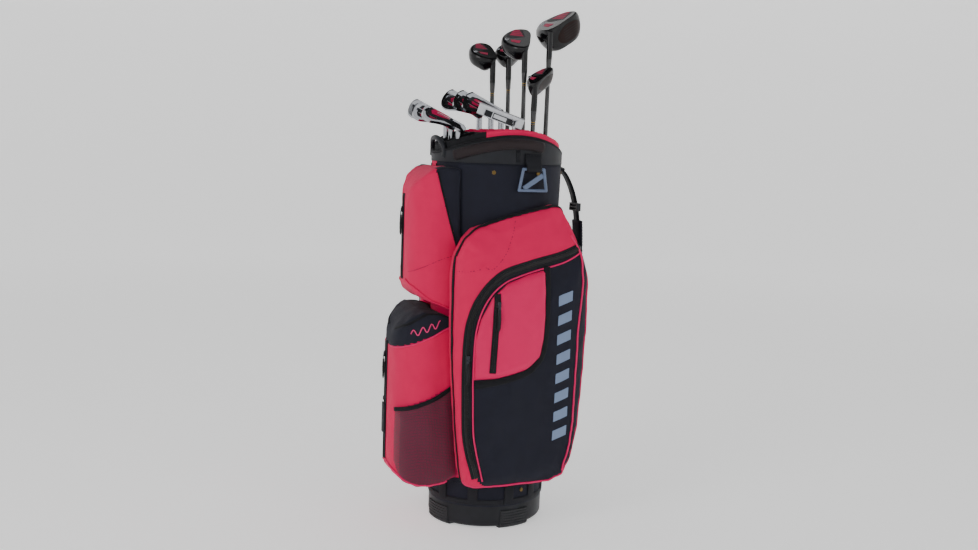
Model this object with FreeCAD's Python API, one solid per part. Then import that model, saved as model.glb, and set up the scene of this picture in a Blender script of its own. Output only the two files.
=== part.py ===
import FreeCAD, Part
import os
from math import sin, cos, tan, radians, sqrt

# Golf club set: a cart bag standing on its base with twelve clubs, grips down, heads up.
# Millimetres. Origin: centre of the base on the floor. +Z up, -Y the bag's front
# (accessory pockets), +Y its back (shoulder strap), +X the side with the towel ring.

V = FreeCAD.Vector

# ---- bag, driving sizes ----
BASE_RX, BASE_RY = 118.0, 129.0        # outside half-axes of the base cup
MOUTH_RX, MOUTH_RY = 130.0, 145.0      # outside half-axes of the top collar
BODY_Z0, BODY_Z1 = 50.0, 795.0         # fabric body between cup and collar
BODY_WALL = 3.0
FIT = 0.3                              # clearance between pieces that slip together
CUP_SKIRT_Z = BODY_Z0 + 45             # how far the cup reaches up inside the body
CUP_FLOOR = 8.0
SKIRT_WALL = 3.0
COLLAR_SKIRT_Z = BODY_Z1 - 30
ARCH_R = 277.0                         # the rim is arched about an axis along X
ARCH_Z = BODY_Z1 - 221.0
DOME_RISE, DOME_DEPTH = 16.0, 8.0      # divider top above and below the rim
DOME_BORDER = 3.5
RAIL = 4.0                             # width of the divider rails at the mouth
WALL = 1.6                             # thickness of the divider walls below them
CELL_WALL_Z = BODY_Z1 - 70
FULL_WALL_Z = 40.0                     # foot of the three full-length panels
TREAD_W, TREAD_H, TREAD_OUT = 70.0, 40.0, 2.8
TREAD_TURNS = (15, 105, 195, 285)
PAD_R = 30.0                           # centre pad under the cup
CUP_Z0 = 3.0                           # the cup hangs clear of the floor on its treads
STAY_R = 2.5
STAY_TURNS = (60, 120, 220, 320)
RIVET_TURNS = (20, 75, 110, 160, 200, 250, 290, 340)
CLOTH = 2.5                            # thickness of a pocket wall with its lining

# ---- divider: fourteen cells (x0, x1, y0, y1) ----
FAR = 160.0
FRONT_RAIL, LEFT_RAIL, RIGHT_RAIL = -62.0, -42.0, 68.0
CELLS = [
    (-FAR, -24, -FAR, FRONT_RAIL), (-24, 25, -FAR, FRONT_RAIL), (25, FAR, -FAR, FRONT_RAIL),
    (-FAR, LEFT_RAIL, FRONT_RAIL, -3.5), (-FAR, LEFT_RAIL, -3.5, 35), (-FAR, LEFT_RAIL, 35, FAR),
    (LEFT_RAIL, 15, FRONT_RAIL, 20), (15, RIGHT_RAIL, FRONT_RAIL, 20),
    (LEFT_RAIL, 0, 20, 80), (0, RIGHT_RAIL, 20, 80), (LEFT_RAIL, RIGHT_RAIL, 80, FAR),
    (RIGHT_RAIL, FAR, FRONT_RAIL, -22), (RIGHT_RAIL, FAR, -22, 22.5), (RIGHT_RAIL, FAR, 22.5, FAR),
]

# ---- clubs ----
BUTT_Z = 15.0                          # grip ends rest just above the cup floor
AIM_Z = 850.0                          # height at which each club's place is given
BUTT_R, TIP_R = 7.6, 4.7               # shaft radius at the butt and at the head
TUBE = 0.8
SHAFT_START = 3.4
GRIP_L, GRIP_R, GRIP_MOUTH_R = 265.0, 13.3, 9.6
TAPE = 0.1                             # tape layer between shaft and grip
GLUE = 0.1                             # glue line between shaft and hosel
HOSEL_R = 6.6

# name: length, x and y at AIM_Z, turn of the toe, lean in x and y (degrees)
CLUBS = {
    "driver": (1075, 9, 109, 108, 0, 0.4),
    "wood_3": (1036, 19, 51, 157, 0, -0.6),
    "wood_5": (1025, -83.5, 53.5, 129, -0.4, -0.8),
    "wood_7": (1016, -87.5, 16.5, -179, 0, -0.8),
    "hybrid": (956, 92, 45, 120, 0.5, 0.6),
    "iron_6": (904, -66.5, -20.5, -118, 0, -0.2),
    "iron_7": (901, -12, -12.5, -106.5, 0, -0.2),
    "iron_8": (896, 40, -8, -109.5, 0, -0.2),
    "iron_9": (880, -54, -101.5, -111.5, 0, -0.8),
    "pitching_wedge": (872, 2.5, -107, -111, 0, -0.8),
    "sand_wedge": (864, 48.5, -105, -104, 0, -0.8),
    "putter": (881, 102, 0.5, -110, 0.5, 0),
}
# wood: length heel to toe, depth, height, loft, sole rise toward the toe
WOODS = {
    "driver": (112, 92, 56, 11, 32), "wood_3": (92, 66, 38, 16, 33),
    "wood_5": (87, 62, 36, 19, 32), "wood_7": (83, 58, 36, 22, 31),
    "hybrid": (82, 46, 34, 24, 31),
}
# iron: loft, sole rise toward the toe, sole width
IRONS = {
    "iron_6": (27, 29, 17), "iron_7": (30, 28.5, 17.5), "iron_8": (34, 28, 18),
    "iron_9": (38, 27.5, 19), "pitching_wedge": (43, 27, 20), "sand_wedge": (52, 27, 22),
}
WOOD_SKIN = 2.0
IRON_SCALE = 0.96


# ---- small builders ----
def oval(rx, ry, z):
    """A horizontal ellipse with half-axes rx and ry."""
    wire = Part.Wire([Part.Ellipse(V(0, 0, 0), max(rx, ry), min(rx, ry)).toShape()])
    if ry > rx:
        wire.rotate(V(0, 0, 0), V(0, 0, 1), 90)
    wire.translate(V(0, 0, z))
    return wire


def oval_block(rx, ry, z0, z1):
    return Part.Face(oval(rx, ry, z0)).extrude(V(0, 0, z1 - z0))


def body_oval(z, grow):
    """The fabric body's outline at a height, grown outward."""
    k = (z - BODY_Z0) / (BODY_Z1 - BODY_Z0)
    rx = BASE_RX + k * (MOUTH_RX - 1 - BASE_RX) + grow
    ry = BASE_RY + k * (MOUTH_RY - 1 - BASE_RY) + grow
    return oval(rx, ry, z)


def body_block(grow, z0=BODY_Z0, z1=BODY_Z1):
    return Part.makeLoft([body_oval(z0, grow), body_oval(z1, grow)], True, True)


def under_arch(rise):
    """Everything below the arched rim raised by rise."""
    r = ARCH_R + rise
    arch = Part.makeCylinder(r, 600, V(-300, 0, ARCH_Z), V(1, 0, 0))
    return arch.fuse(box(-300, 300, -r, r, 0, ARCH_Z))


def spline(points, closed=False):
    curve = Part.BSplineCurve()
    curve.interpolate([V(*p) for p in points], PeriodicFlag=closed)
    return curve.toShape()


def polygon_face(points):
    return Part.Face(Part.makePolygon([V(*p) for p in points + points[:1]]))


def box(x0, x1, y0, y1, z0, z1):
    return Part.makeBox(x1 - x0, y1 - y0, z1 - z0, V(x0, y0, z0))


def fuse(shapes):
    return shapes[0].multiFuse(shapes[1:]).removeSplitter()


def mirrored(shape):
    return shape.mirror(V(0, 0, 0), V(1, 0, 0))


def outward(turn, rx, ry, z):
    """A point on an ellipse, by turn from +X."""
    return V(rx * cos(radians(turn)), ry * sin(radians(turn)), z)


# ---- bag shell ----
def skirt_outer(z):
    """Half-axes that slip inside the body at height z."""
    k = (z - BODY_Z0) / (BODY_Z1 - BODY_Z0)
    inset = BODY_WALL + FIT
    return (BASE_RX + k * (MOUTH_RX - 1 - BASE_RX) - inset,
            BASE_RY + k * (MOUTH_RY - 1 - BASE_RY) - inset)


CUP_SX, CUP_SY = skirt_outer(BODY_Z0)
COLLAR_SX, COLLAR_SY = skirt_outer(COLLAR_SKIRT_Z)
CUP_IX, CUP_IY = CUP_SX - SKIRT_WALL, CUP_SY - SKIRT_WALL
COLLAR_IX, COLLAR_IY = COLLAR_SX - SKIRT_WALL, COLLAR_SY - SKIRT_WALL


def stay_ends(turn):
    inset = 3.4
    return (outward(turn, CUP_IX - inset, CUP_IY - inset, CUP_FLOOR + 3),
            outward(turn, COLLAR_IX - inset, COLLAR_IY - inset, BODY_Z1 - 4))


def rod(a, b, r, start=0.0, length=None):
    along = b - a
    full = along.Length
    along.normalize()
    return Part.makeCylinder(r, full - start if length is None else length,
                             a + along * start, along)


def rivet_tools(r, depth, out):
    """Pins square to the body wall, at the cup skirt and the collar skirt."""
    pins = []
    for z in (CUP_SKIRT_Z - 12, COLLAR_SKIRT_Z + 12):
        k = (z - BODY_Z0) / (BODY_Z1 - BODY_Z0)
        rx = BASE_RX + k * (MOUTH_RX - 1 - BASE_RX)
        ry = BASE_RY + k * (MOUTH_RY - 1 - BASE_RY)
        for turn in RIVET_TURNS:
            at = outward(turn, rx, ry, z)
            normal = V(cos(radians(turn)) / rx, sin(radians(turn)) / ry, 0)
            normal.normalize()
            pins.append(Part.makeCylinder(r, depth + out, at - normal * depth, normal))
    return Part.makeCompound(pins)


def tread_shell(clear):
    """The wrap-round shape of the treads before it is cut into four."""
    g = TREAD_OUT
    block = oval_block(BASE_RX + g + clear, BASE_RY + g + clear, -clear, TREAD_H + clear)
    bottom = [e for e in block.Edges if abs(e.BoundBox.ZMax + clear) < 1e-6]
    block = block.makeFillet(9, bottom)
    core = oval_block(BASE_RX - 2.5 - clear, BASE_RY - 2.5 - clear, 6 + clear, TREAD_H + 9)
    return block.cut(core)


def tread_sectors(clear):
    out = []
    for turn in TREAD_TURNS:
        sector = box(80, 160, -TREAD_W / 2 - clear, TREAD_W / 2 + clear, -5, TREAD_H + 5)
        sector.rotate(V(0, 0, 0), V(0, 0, 1), turn)
        out.append(sector)
    return Part.makeCompound(out)


def base_treads():
    shell = tread_shell(0)
    for k in range(5):
        z = 10 + 6 * k
        groove = oval_block(BASE_RX + 9, BASE_RY + 9, z, z + 2)
        groove = groove.cut(oval_block(BASE_RX + TREAD_OUT - 1.6, BASE_RY + TREAD_OUT - 1.6, z, z + 2))
        shell = shell.cut(groove)
    return Part.makeCompound(shell.common(tread_sectors(0)).Solids + [centre_pad(0)])


def centre_pad(clear):
    """The round pad under the middle of the cup."""
    return Part.makeCylinder(PAD_R + clear, CUP_Z0 + 1.5 + clear)


def base_cup():
    cup = oval_block(BASE_RX, BASE_RY, CUP_Z0, BODY_Z0)
    cup = cup.makeFillet(11, [e for e in cup.Edges if abs(e.BoundBox.ZMax - CUP_Z0) < 1e-6])
    cup = cup.fuse(oval_block(CUP_SX, CUP_SY, BODY_Z0 - 1, CUP_SKIRT_Z))
    cup = cup.cut(oval_block(CUP_IX, CUP_IY, CUP_FLOOR, CUP_SKIRT_Z + 1))
    sockets, bores = [], []
    for turn in STAY_TURNS:
        a, b = stay_ends(turn)
        sockets.append(rod(a, b, STAY_R + 3, -4, 19))
        bores.append(rod(a, b, STAY_R + FIT, -FIT, 100))
    cup = fuse([cup] + sockets).cut(Part.makeCompound(bores))
    cup = cup.cut(tread_shell(0.25).common(tread_sectors(0.25))).cut(centre_pad(0.25))
    return cup.cut(rivet_tools(2.1, 12, 6))


def body_tube():
    tube = body_block(0).cut(body_block(-BODY_WALL, BODY_Z0, BODY_Z1))
    return tube.cut(rivet_tools(2.1, 12, 6))


def frame_stays():
    return Part.makeCompound([rod(*stay_ends(t), STAY_R) for t in STAY_TURNS])


def top_collar():
    ring = oval_block(MOUTH_RX, MOUTH_RY, BODY_Z1 + FIT, 900)
    skirt = oval_block(COLLAR_SX, COLLAR_SY, COLLAR_SKIRT_Z, BODY_Z1 + FIT + 1)
    lugs, bores = [], []
    for turn in STAY_TURNS:
        a, b = stay_ends(turn)
        full = (b - a).Length
        lugs.append(rod(a, b, STAY_R + 3, full - 18, 21))
        bores.append(rod(a, b, STAY_R + FIT, full - 40, 40 + FIT))
    collar = ring.fuse(skirt).cut(oval_block(COLLAR_IX, COLLAR_IY, COLLAR_SKIRT_Z - 1, 900))
    collar = fuse([collar.common(under_arch(0))] + lugs).cut(Part.makeCompound(bores))
    collar = collar.cut(rivet_tools(2.1, 12, 6))
    return collar.fuse(front_handle())


def front_handle():
    """The moulded lifting handle over the front of the rim."""
    feet = -134.5
    path = spline([(-44, feet, 806), (-40, feet - 1, 828), (-22, feet - 6, 842), (0, feet - 8, 845),
                   (22, feet - 6, 842), (40, feet - 1, 828), (44, feet, 806)])
    section = Part.Wire([Part.makeCircle(5.6, V(-44, feet, 806), V(0.15, 0, 1))])
    return Part.Wire([path]).makePipeShell([section], True, True)


def divider_top():
    plate = oval_block(COLLAR_IX - 0.4, COLLAR_IY - 0.4, 780, 900)
    plate = plate.common(under_arch(DOME_RISE)).cut(under_arch(-DOME_DEPTH))
    inner = oval_block(COLLAR_IX - 0.4 - DOME_BORDER, COLLAR_IY - 0.4 - DOME_BORDER, 770, 910)
    for x0, x1, y0, y1 in CELLS:
        h = RAIL / 2
        plate = plate.cut(inner.common(box(x0 + h, x1 - h, y0 + h, y1 - h, 765, 915)))
    return plate


def wall_panel(x0, x1, y0, y1, z0):
    """One sewn divider panel, standing on the line between two rows of cells."""
    h, end = WALL / 2, WALL / 2 + 0.05
    if x0 == x1:
        slab = box(x0 - h, x0 + h, y0 + end, y1 - end, z0, 905)
    else:
        slab = box(x0 + end, x1 - end, y0 - h, y0 + h, z0, 905)
    panel = slab.common(oval_block(COLLAR_IX - 4.4, COLLAR_IY - 4.4, CELL_WALL_Z, 900))
    if z0 < CELL_WALL_Z:
        low = slab.common(oval_block(CUP_IX - 1.5, CUP_IY - 1.5, z0, CELL_WALL_Z))
        panel = panel.fuse(low).removeSplitter()
    return panel.common(under_arch(-DOME_DEPTH - FIT))


def divider_walls():
    """Three full-length panels on the rails, and short ones between the cells."""
    panels = [wall_panel(-FAR, FAR, FRONT_RAIL, FRONT_RAIL, FULL_WALL_Z)]
    panels += [wall_panel(x, x, FRONT_RAIL, FAR, FULL_WALL_Z) for x in (LEFT_RAIL, RIGHT_RAIL)]
    for x0, x1, y0, y1 in CELLS:
        if x1 not in (LEFT_RAIL, RIGHT_RAIL, FAR):
            panels.append(wall_panel(x1, x1, y0, y1, CELL_WALL_Z))
        if y1 not in (FRONT_RAIL, FAR):
            panels.append(wall_panel(x0, x1, y1, y1, CELL_WALL_Z))
    lugs = Part.makeCompound([rod(*stay_ends(t), STAY_R + 3.4, 700, 90) for t in STAY_TURNS])
    return Part.makeCompound([s for p in panels for s in p.cut(lugs).Solids])


def metal_fittings():
    """Rivets through the body wall, and the two strap adjusters."""
    pins = rivet_tools(2.0, 7, 1.2)
    heads = rivet_tools(4.2, -0.3, 1.8)
    rivets = [p.fuse(h) for p, h in zip(pins.Solids, heads.Solids)]
    rivets = [r for r in rivets if not covered(r)]
    return Part.makeCompound(rivets + [strap_adjuster(z) for z in STRAP_ADJUSTERS])


def covered(rivet):
    """Rivets under a front pocket are left out: the pocket's own seam holds there."""
    c = rivet.BoundBox.Center
    return c.y < 0 and abs(c.x) < (112 if c.z < 200 else 70)


def handle_bands():
    band = oval_block(MOUTH_RX + 3.6, MOUTH_RY + 3.6, 780, 900)
    band = band.cut(oval_block(MOUTH_RX + FIT, MOUTH_RY + FIT, 775, 905))
    band = band.common(under_arch(-1.5)).cut(under_arch(-23))
    right = band.common(box(20, 200, -122, 61, 780, 900))
    return Part.makeCompound([right, mirrored(right)])


# ---- towel ring ----
RING_Z, RING_X = BODY_Z1 - 9, MOUTH_RX + 7.5
RING_R = 3.2


def towel_ring():
    corners = [V(RING_X, 10, RING_Z), V(RING_X, 56, RING_Z), V(RING_X, 63, RING_Z - 44),
               V(RING_X, 2, RING_Z - 44)]
    bars = [rod(a, b, RING_R) for a, b in zip(corners, corners[1:] + corners[:1])]
    bars += [Part.makeSphere(RING_R, c) for c in corners]
    low = V(RING_X, 12, RING_Z - 40)
    high = V(RING_X, 54, RING_Z - 12)
    along = high - low
    cross = Part.makeBox(along.Length, 10, 4, V(0, -5, -2))
    cross.Placement = FreeCAD.Placement(low, FreeCAD.Rotation(along, V(1, 0, 0).cross(along), V(1, 0, 0), "XYZ"))
    return fuse(bars + [cross])


def towel_ring_loop():
    """Webbing folded round the ring's top bar, its tails stitched to the collar."""
    eye = RING_R + 0.35
    outer = Part.makeCylinder(eye + 1.4, 34, V(RING_X, 16, RING_Z), V(0, 1, 0))
    tail = box(MOUTH_RX - 6, RING_X + eye + 1.4, 16, 50, RING_Z, RING_Z + 24)
    tail = tail.common(box(RING_X - eye - 1.4, RING_X - eye + 1.0, 16, 50, RING_Z, RING_Z + 24))
    pad = box(MOUTH_RX - 14, RING_X - eye + 1.0, 16, 50, RING_Z + 12, RING_Z + 24)
    pad = pad.cut(oval_block(MOUTH_RX + 0.15, MOUTH_RY + 0.15, 780, 830))
    loop = fuse([outer, tail, pad])
    loop = loop.cut(Part.makeCylinder(eye, 36, V(RING_X, 15, RING_Z), V(0, 1, 0)))
    return loop.cut(body_block(0.3, 740, 795)).cut(oval_block(MOUTH_RX + 0.15, MOUTH_RY + 0.15, 770, 830))


# ---- pockets ----
# Closed outlines, in order: OUTLINE is (y, z), PLAN is (x, y), SIDE is (x, z).
GARMENT_OUTLINE = [
    (-99, 116), (-80, 110), (96, 110), (124, 122), (142, 160), (155, 230), (164, 340), (171, 440),
    (170, 540), (162, 575), (150, 605), (122, 672), (102, 706), (86, 712), (40, 704), (-20, 688),
    (-86, 664), (-112, 640), (-128, 604), (-134, 560), (-129, 400), (-118, 250), (-107, 150)]
GARMENT_PLAN = [
    (96, -135), (122, -132), (136, -124), (146, -114), (160, -80), (165, -50), (168, 20),
    (166, 98), (160, 138), (148, 164), (134, 174), (118, 178), (98, 174), (60, 140), (20, 60),
    (20, -60), (96, -72)]
GARMENT_SIDE = [
    (20, 105), (150, 105), (157, 160), (162, 230), (167, 320), (168, 400), (168, 540), (163, 572),
    (153, 620), (142, 672), (134, 722), (20, 722)]
LOWER_OUTLINE = [
    (-92, 118), (-130, 103), (-178, 97), (-212, 104), (-230, 120), (-238, 146), (-238, 398),
    (-232, 425), (-218, 452), (-200, 471), (-180, 480), (-140, 474), (-92, 452), (-40, 452),
    (-40, 118)]
LOWER_PLAN = [
    (-90, -40), (-92, -110), (-91, -160), (-86, -190), (-72, -212), (-48, -228), (-20, -235),
    (20, -235), (48, -228), (72, -212), (86, -190), (91, -160), (92, -110), (90, -40)]
UPPER_OUTLINE = [
    (-86, 466), (-130, 484), (-168, 497), (-192, 514), (-204, 530), (-209, 552), (-209, 712),
    (-203, 738), (-188, 762), (-168, 778), (-148, 786), (-112, 783), (-40, 783), (-40, 466)]
UPPER_PLAN = [
    (-88, -40), (-90, -104), (-88, -140), (-82, -166), (-68, -186), (-42, -202), (-16, -207),
    (16, -207), (42, -202), (68, -186), (82, -166), (88, -140), (90, -104), (88, -40)]


def offset(points, by):
    """A closed outline moved outward by a distance, corner by corner."""
    n = len(points)
    area = sum(points[i][0] * points[(i + 1) % n][1] - points[(i + 1) % n][0] * points[i][1]
               for i in range(n))
    side = 1 if area > 0 else -1
    out = []
    for i in range(n):
        (ax, ay), (bx, by_), (cx, cy) = points[i - 1], points[i], points[(i + 1) % n]
        u, v = unit(bx - ax, by_ - ay), unit(cx - bx, cy - by_)
        na, nb = (u[1] * side, -u[0] * side), (v[1] * side, -v[0] * side)
        k = by / (1 + na[0] * nb[0] + na[1] * nb[1])
        out.append((bx + (na[0] + nb[0]) * k, by_ + (na[1] + nb[1]) * k))
    return out


def unit(x, y):
    size = sqrt(x * x + y * y)
    return (x / size, y / size)


def prism(points, axis, lo, hi, grow=0.0):
    """A closed outline, grown outward and drawn out along an axis."""
    place = {"x": lambda p: (lo, p[0], p[1]), "y": lambda p: (p[0], lo, p[1]),
             "z": lambda p: (p[0], p[1], lo)}[axis]
    run = {"x": V(hi - lo, 0, 0), "y": V(0, hi - lo, 0), "z": V(0, 0, hi - lo)}[axis]
    return polygon_face([place(p) for p in offset(points, grow)]).extrude(run)


def garment_block(grow):
    block = prism(GARMENT_OUTLINE, "x", 0, 260, grow)
    return block.common(prism(GARMENT_PLAN, "z", 40, 800, grow)).common(
        prism(GARMENT_SIDE, "y", -300, 300, grow))


def front_block(outline, plan, grow):
    return prism(outline, "x", -130, 130, grow).common(prism(plan, "z", 0, 900, grow))


def pocket(block, inner):
    """A sewn pocket: a closed cloth shell whose back lies on the body."""
    shell = block.cut(body_block(FIT, 40, 800))
    return shell.cut(inner.cut(body_block(FIT + CLOTH, 40, 800)))


def garment_pocket():
    return pocket(garment_block(0), garment_block(-CLOTH))


def lower_front_pocket():
    return pocket(front_block(LOWER_OUTLINE, LOWER_PLAN, 0),
                  front_block(LOWER_OUTLINE, LOWER_PLAN, -CLOTH))


def upper_front_pocket():
    return pocket(front_block(UPPER_OUTLINE, UPPER_PLAN, 0),
                  front_block(UPPER_OUTLINE, UPPER_PLAN, -CLOTH))


def mesh_pockets():
    outer = front_block(LOWER_OUTLINE, LOWER_PLAN, 5)
    inner = front_block(LOWER_OUTLINE, LOWER_PLAN, 3.4)
    region = [(-205, 128), (-205, 270), (-140, 302), (-140, 122)]
    skin = outer.cut(inner).common(prism(region, "x", 20, 200))
    base = front_block(LOWER_OUTLINE, LOWER_PLAN, FIT)
    hem = inner.cut(base).common(box(20, 200, -205, -140, 128, 136))
    side = skin.fuse(hem)
    return Part.makeCompound(side.Solids + mirrored(side).Solids)


VALUABLES = [(-77, 348), (60, 352), (60, 576), (-12, 556), (-48, 528), (-79, 476)]


def valuables_pocket():
    region = prism(VALUABLES, "x", 100, 220)
    return garment_block(7).cut(garment_block(FIT)).common(region)


# ---- zips ----
GARMENT_ZIP = [(-76, 130), (-102, 215), (-103, 405), (-96, 470), (-72, 528), (-34, 566), (30, 588),
               (100, 606), (146, 628)]
VALUABLES_ZIP_Y = -46.0
VALUABLES_ZIP = (372, 520)
UPPER_ZIP_X, LOWER_ZIP_X = -6.0, -18.0
UPPER_ZIP = (560, 708)
LOWER_ZIP = (150, 392)
ZIP_W, ZIP_H = 9.0, 1.4


def ribbon(path, width, depth):
    """A band of even width along a bent path, drawn out along X."""
    half, left, right = width / 2, [], []
    for k, (y, z) in enumerate(path):
        before = unit(y - path[k - 1][0], z - path[k - 1][1]) if k else None
        after = unit(path[k + 1][0] - y, path[k + 1][1] - z) if k + 1 < len(path) else before
        before = before or after
        bend = 1 + before[0] * after[0] + before[1] * after[1]
        ny, nz = -(before[1] + after[1]) / bend * half, (before[0] + after[0]) / bend * half
        left.append((y + ny, z + nz))
        right.append((y - ny, z - nz))
    return prism(left + right[::-1], "x", 100, 100 + depth)


def front_ribbon(x, z0, z1, outline, plan):
    strip = box(x - ZIP_W / 2, x + ZIP_W / 2, -260, -120, z0, z1)
    return front_block(outline, plan, FIT + ZIP_H).cut(front_block(outline, plan, FIT)).common(strip)


def zipper_tracks():
    skin = garment_block(FIT + ZIP_H).cut(garment_block(FIT))
    right = skin.common(ribbon(GARMENT_ZIP, ZIP_W, 120)).cut(valuables_keepout())
    small = garment_block(7 + FIT + ZIP_H).cut(garment_block(7 + FIT))
    half = ZIP_W / 2 - 1
    small = small.common(box(100, 220, VALUABLES_ZIP_Y - half, VALUABLES_ZIP_Y + half, *VALUABLES_ZIP))
    upper = front_ribbon(UPPER_ZIP_X, *UPPER_ZIP, UPPER_OUTLINE, UPPER_PLAN)
    lower = front_ribbon(LOWER_ZIP_X, *LOWER_ZIP, LOWER_OUTLINE, LOWER_PLAN)
    solids = []
    for part in (right, mirrored(right), small, upper, lower):
        solids += part.Solids
    return Part.makeCompound(solids)


def valuables_keepout():
    return prism(VALUABLES, "x", 100, 220, FIT)


def surface_at(block, start, direction):
    """Where a ray from outside first meets a block, and the normal there."""
    ray = Part.makeLine(start, start + direction * 400)
    hits = block.common(ray).Vertexes
    return min((v.Point for v in hits), key=lambda p: (p - start).Length)


def slider(block, gap, x_or_y, z, front):
    """A zip slider with its pull, sitting just off the track it runs on."""
    rays = []
    for side in (-3, 3):
        if front:
            rays.append(surface_at(block, V(x_or_y + side, -400, z), V(0, 1, 0)))
        else:
            rays.append(surface_at(block, V(400, x_or_y + side, z), V(-1, 0, 0)))
    across = rays[1] - rays[0]
    across.normalize()
    out = across.cross(V(0, 0, 1))
    centre = (rays[0] + rays[1]) * 0.5
    body = Part.makeBox(8, 3.2, 12, V(-4, gap, -6))
    body = body.makeFillet(0.8, body.Edges)
    bail = Part.makeBox(3, 1.6, 7, V(-1.5, gap + 2.6, -4.5))
    pull = Part.makeBox(6, 1.4, 30, V(-3, gap + 3.4, -34))
    pull = pull.makeFillet(0.5, pull.Edges)
    piece = fuse([body, bail, pull])
    frame = FreeCAD.Matrix(across.x, out.x, 0, centre.x, across.y, out.y, 0, centre.y,
                           0, 0, 1, centre.z, 0, 0, 0, 1)
    return piece.transformGeometry(frame)


# ---- shoulder strap ----
STRAP_W, STRAP_T = 50.0, 7.0
STRAP_LINE = [(155, 782), (168, 768), (186, 730), (198, 680), (203, 610), (203, 500), (198, 420),
              (184, 360), (164, 326), (150, 316)]
STRAP_ADJUSTERS = (700, 400)


def strap_band(width, thick, z_low, z_high):
    """A flat band following the strap's line, thick either side of it."""
    inner, outer = [], []
    for k, (y, z) in enumerate(STRAP_LINE):
        ya, za = STRAP_LINE[max(k - 1, 0)]
        yb, zb = STRAP_LINE[min(k + 1, len(STRAP_LINE) - 1)]
        run = sqrt((yb - ya) ** 2 + (zb - za) ** 2)
        ny, nz = (za - zb) / run * thick / 2, (yb - ya) / run * thick / 2
        outer.append((0, y + ny, z + nz))
        inner.append((0, y - ny, z - nz))
    edges = [spline(outer), Part.makeLine(V(*outer[-1]), V(*inner[-1])),
             spline(inner[::-1]), Part.makeLine(V(*inner[0]), V(*outer[0]))]
    band = Part.Face(Part.Wire(edges)).extrude(V(width, 0, 0))
    band.translate(V(-width / 2, 0, 0))
    return band.common(box(-width, width, 0, 300, z_low, z_high))


def shoulder_strap():
    pad = strap_band(STRAP_W, STRAP_T, 425, 672)
    web = strap_band(30, 2.6, 300, 800)
    anchors = [box(-20, 20, 120, 158, 770, 792), box(-20, 20, 120, 152, 306, 330)]
    anchors = [a.cut(body_block(FIT, 200, 800)) for a in anchors]
    keep = garment_block(FIT)
    strap = fuse([pad, web] + anchors).cut(keep).cut(mirrored(keep))
    return strap.cut(Part.makeCompound([adjuster_block(z, 0.25) for z in STRAP_ADJUSTERS]))


def strap_y(z):
    """How far back the strap's line is at a height."""
    for (ya, za), (yb, zb) in zip(STRAP_LINE, STRAP_LINE[1:]):
        if zb <= z <= za:
            return ya + (yb - ya) * (za - z) / (za - zb)


def adjuster_block(z, clear):
    """The frame of a strap adjuster, round the webbing."""
    w, t, h, y = 21 + clear, 5 + clear, 9 + clear, strap_y(z)
    return box(-w, w, y - t, y + t, z - h, z + h)


def strap_adjuster(z):
    block = adjuster_block(z, 0)
    window = box(-16, 16, 100, 300, z - 6, z - 1.5).fuse(box(-16, 16, 100, 300, z + 1.5, z + 6))
    return block.cut(window)


# ---- clubs ----
def shaft_radius(z, length):
    return BUTT_R + (TIP_R - BUTT_R) * z / length


def cone(r0, r1, z0, z1):
    return Part.makeCone(r0, r1, z1 - z0, V(0, 0, z0))


def hosel_depth(name):
    """From the sole point back to the open end of the hosel."""
    if name in IRONS:
        return 74.0
    return {"driver": 66.0, "hybrid": 64.0, "putter": 84.0}.get(name, 60.0)


BORE_FLOOR = 0.45                      # the bore ends this part of the hosel from the sole


def club_shaft(name, length):
    tip = length - hosel_depth(name) * BORE_FLOOR - 1
    ra, rb = shaft_radius(SHAFT_START, length), shaft_radius(tip, length)
    tube = cone(ra, rb, SHAFT_START, tip).cut(cone(ra - TUBE, rb - TUBE, SHAFT_START, tip))
    mouth = length - hosel_depth(name)
    r = shaft_radius(mouth - 20, length)
    ferrule = cone(r + 0.7, HOSEL_R - 0.1, mouth - 20.2, mouth - 0.2)
    ferrule = ferrule.cut(cone(shaft_radius(mouth - 21, length) + GLUE, shaft_radius(mouth, length) + GLUE,
                               mouth - 21, mouth))
    return Part.makeCompound([tube, ferrule])


def club_grip(name, length):
    body = cone(GRIP_R, GRIP_MOUTH_R, 0, GRIP_L)
    cap = [e for e in body.Edges if e.BoundBox.ZMax < 1e-3]
    body = body.makeFillet(2.5, cap)
    hole = cone(shaft_radius(3, length) + TAPE, shaft_radius(GRIP_L + 1, length) + TAPE, 3, GRIP_L + 1)
    vent = Part.makeCylinder(1.5, 5, V(0, 0, -1))
    return body.cut(hole).cut(vent)


def sole_frame(shape, rise, length):
    """From sole axes (x heel to toe, y front to back, z crown to sole) to the club's."""
    shape.rotate(V(0, 0, 0), V(0, 1, 0), -rise)
    shape.translate(V(0, 0, length))
    return shape


def wood_outline(long, deep, inset, z, lean):
    """One level of a wood head: flat at the face, round at the back."""
    heel, toe = -15 + inset, long - 15 - inset
    front, back = -12 + inset + lean, deep - 12 - inset
    mid = heel + 0.52 * (toe - heel)
    d = back - front
    points = [
        (heel, front + 0.30 * d), (heel + 0.05 * long, front + 0.09 * d),
        (heel + 0.22 * long, front + 0.01 * d), (mid, front), (toe - 0.20 * long, front + 0.02 * d),
        (toe - 0.04 * long, front + 0.16 * d), (toe, front + 0.40 * d),
        (toe - 0.07 * long, front + 0.68 * d), (toe - 0.24 * long, front + 0.90 * d),
        (mid - 0.02 * long, back), (heel + 0.24 * long, front + 0.88 * d),
        (heel + 0.07 * long, front + 0.60 * d)]
    return Part.Wire([spline([(x, y, z) for x, y in points], True)])


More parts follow.
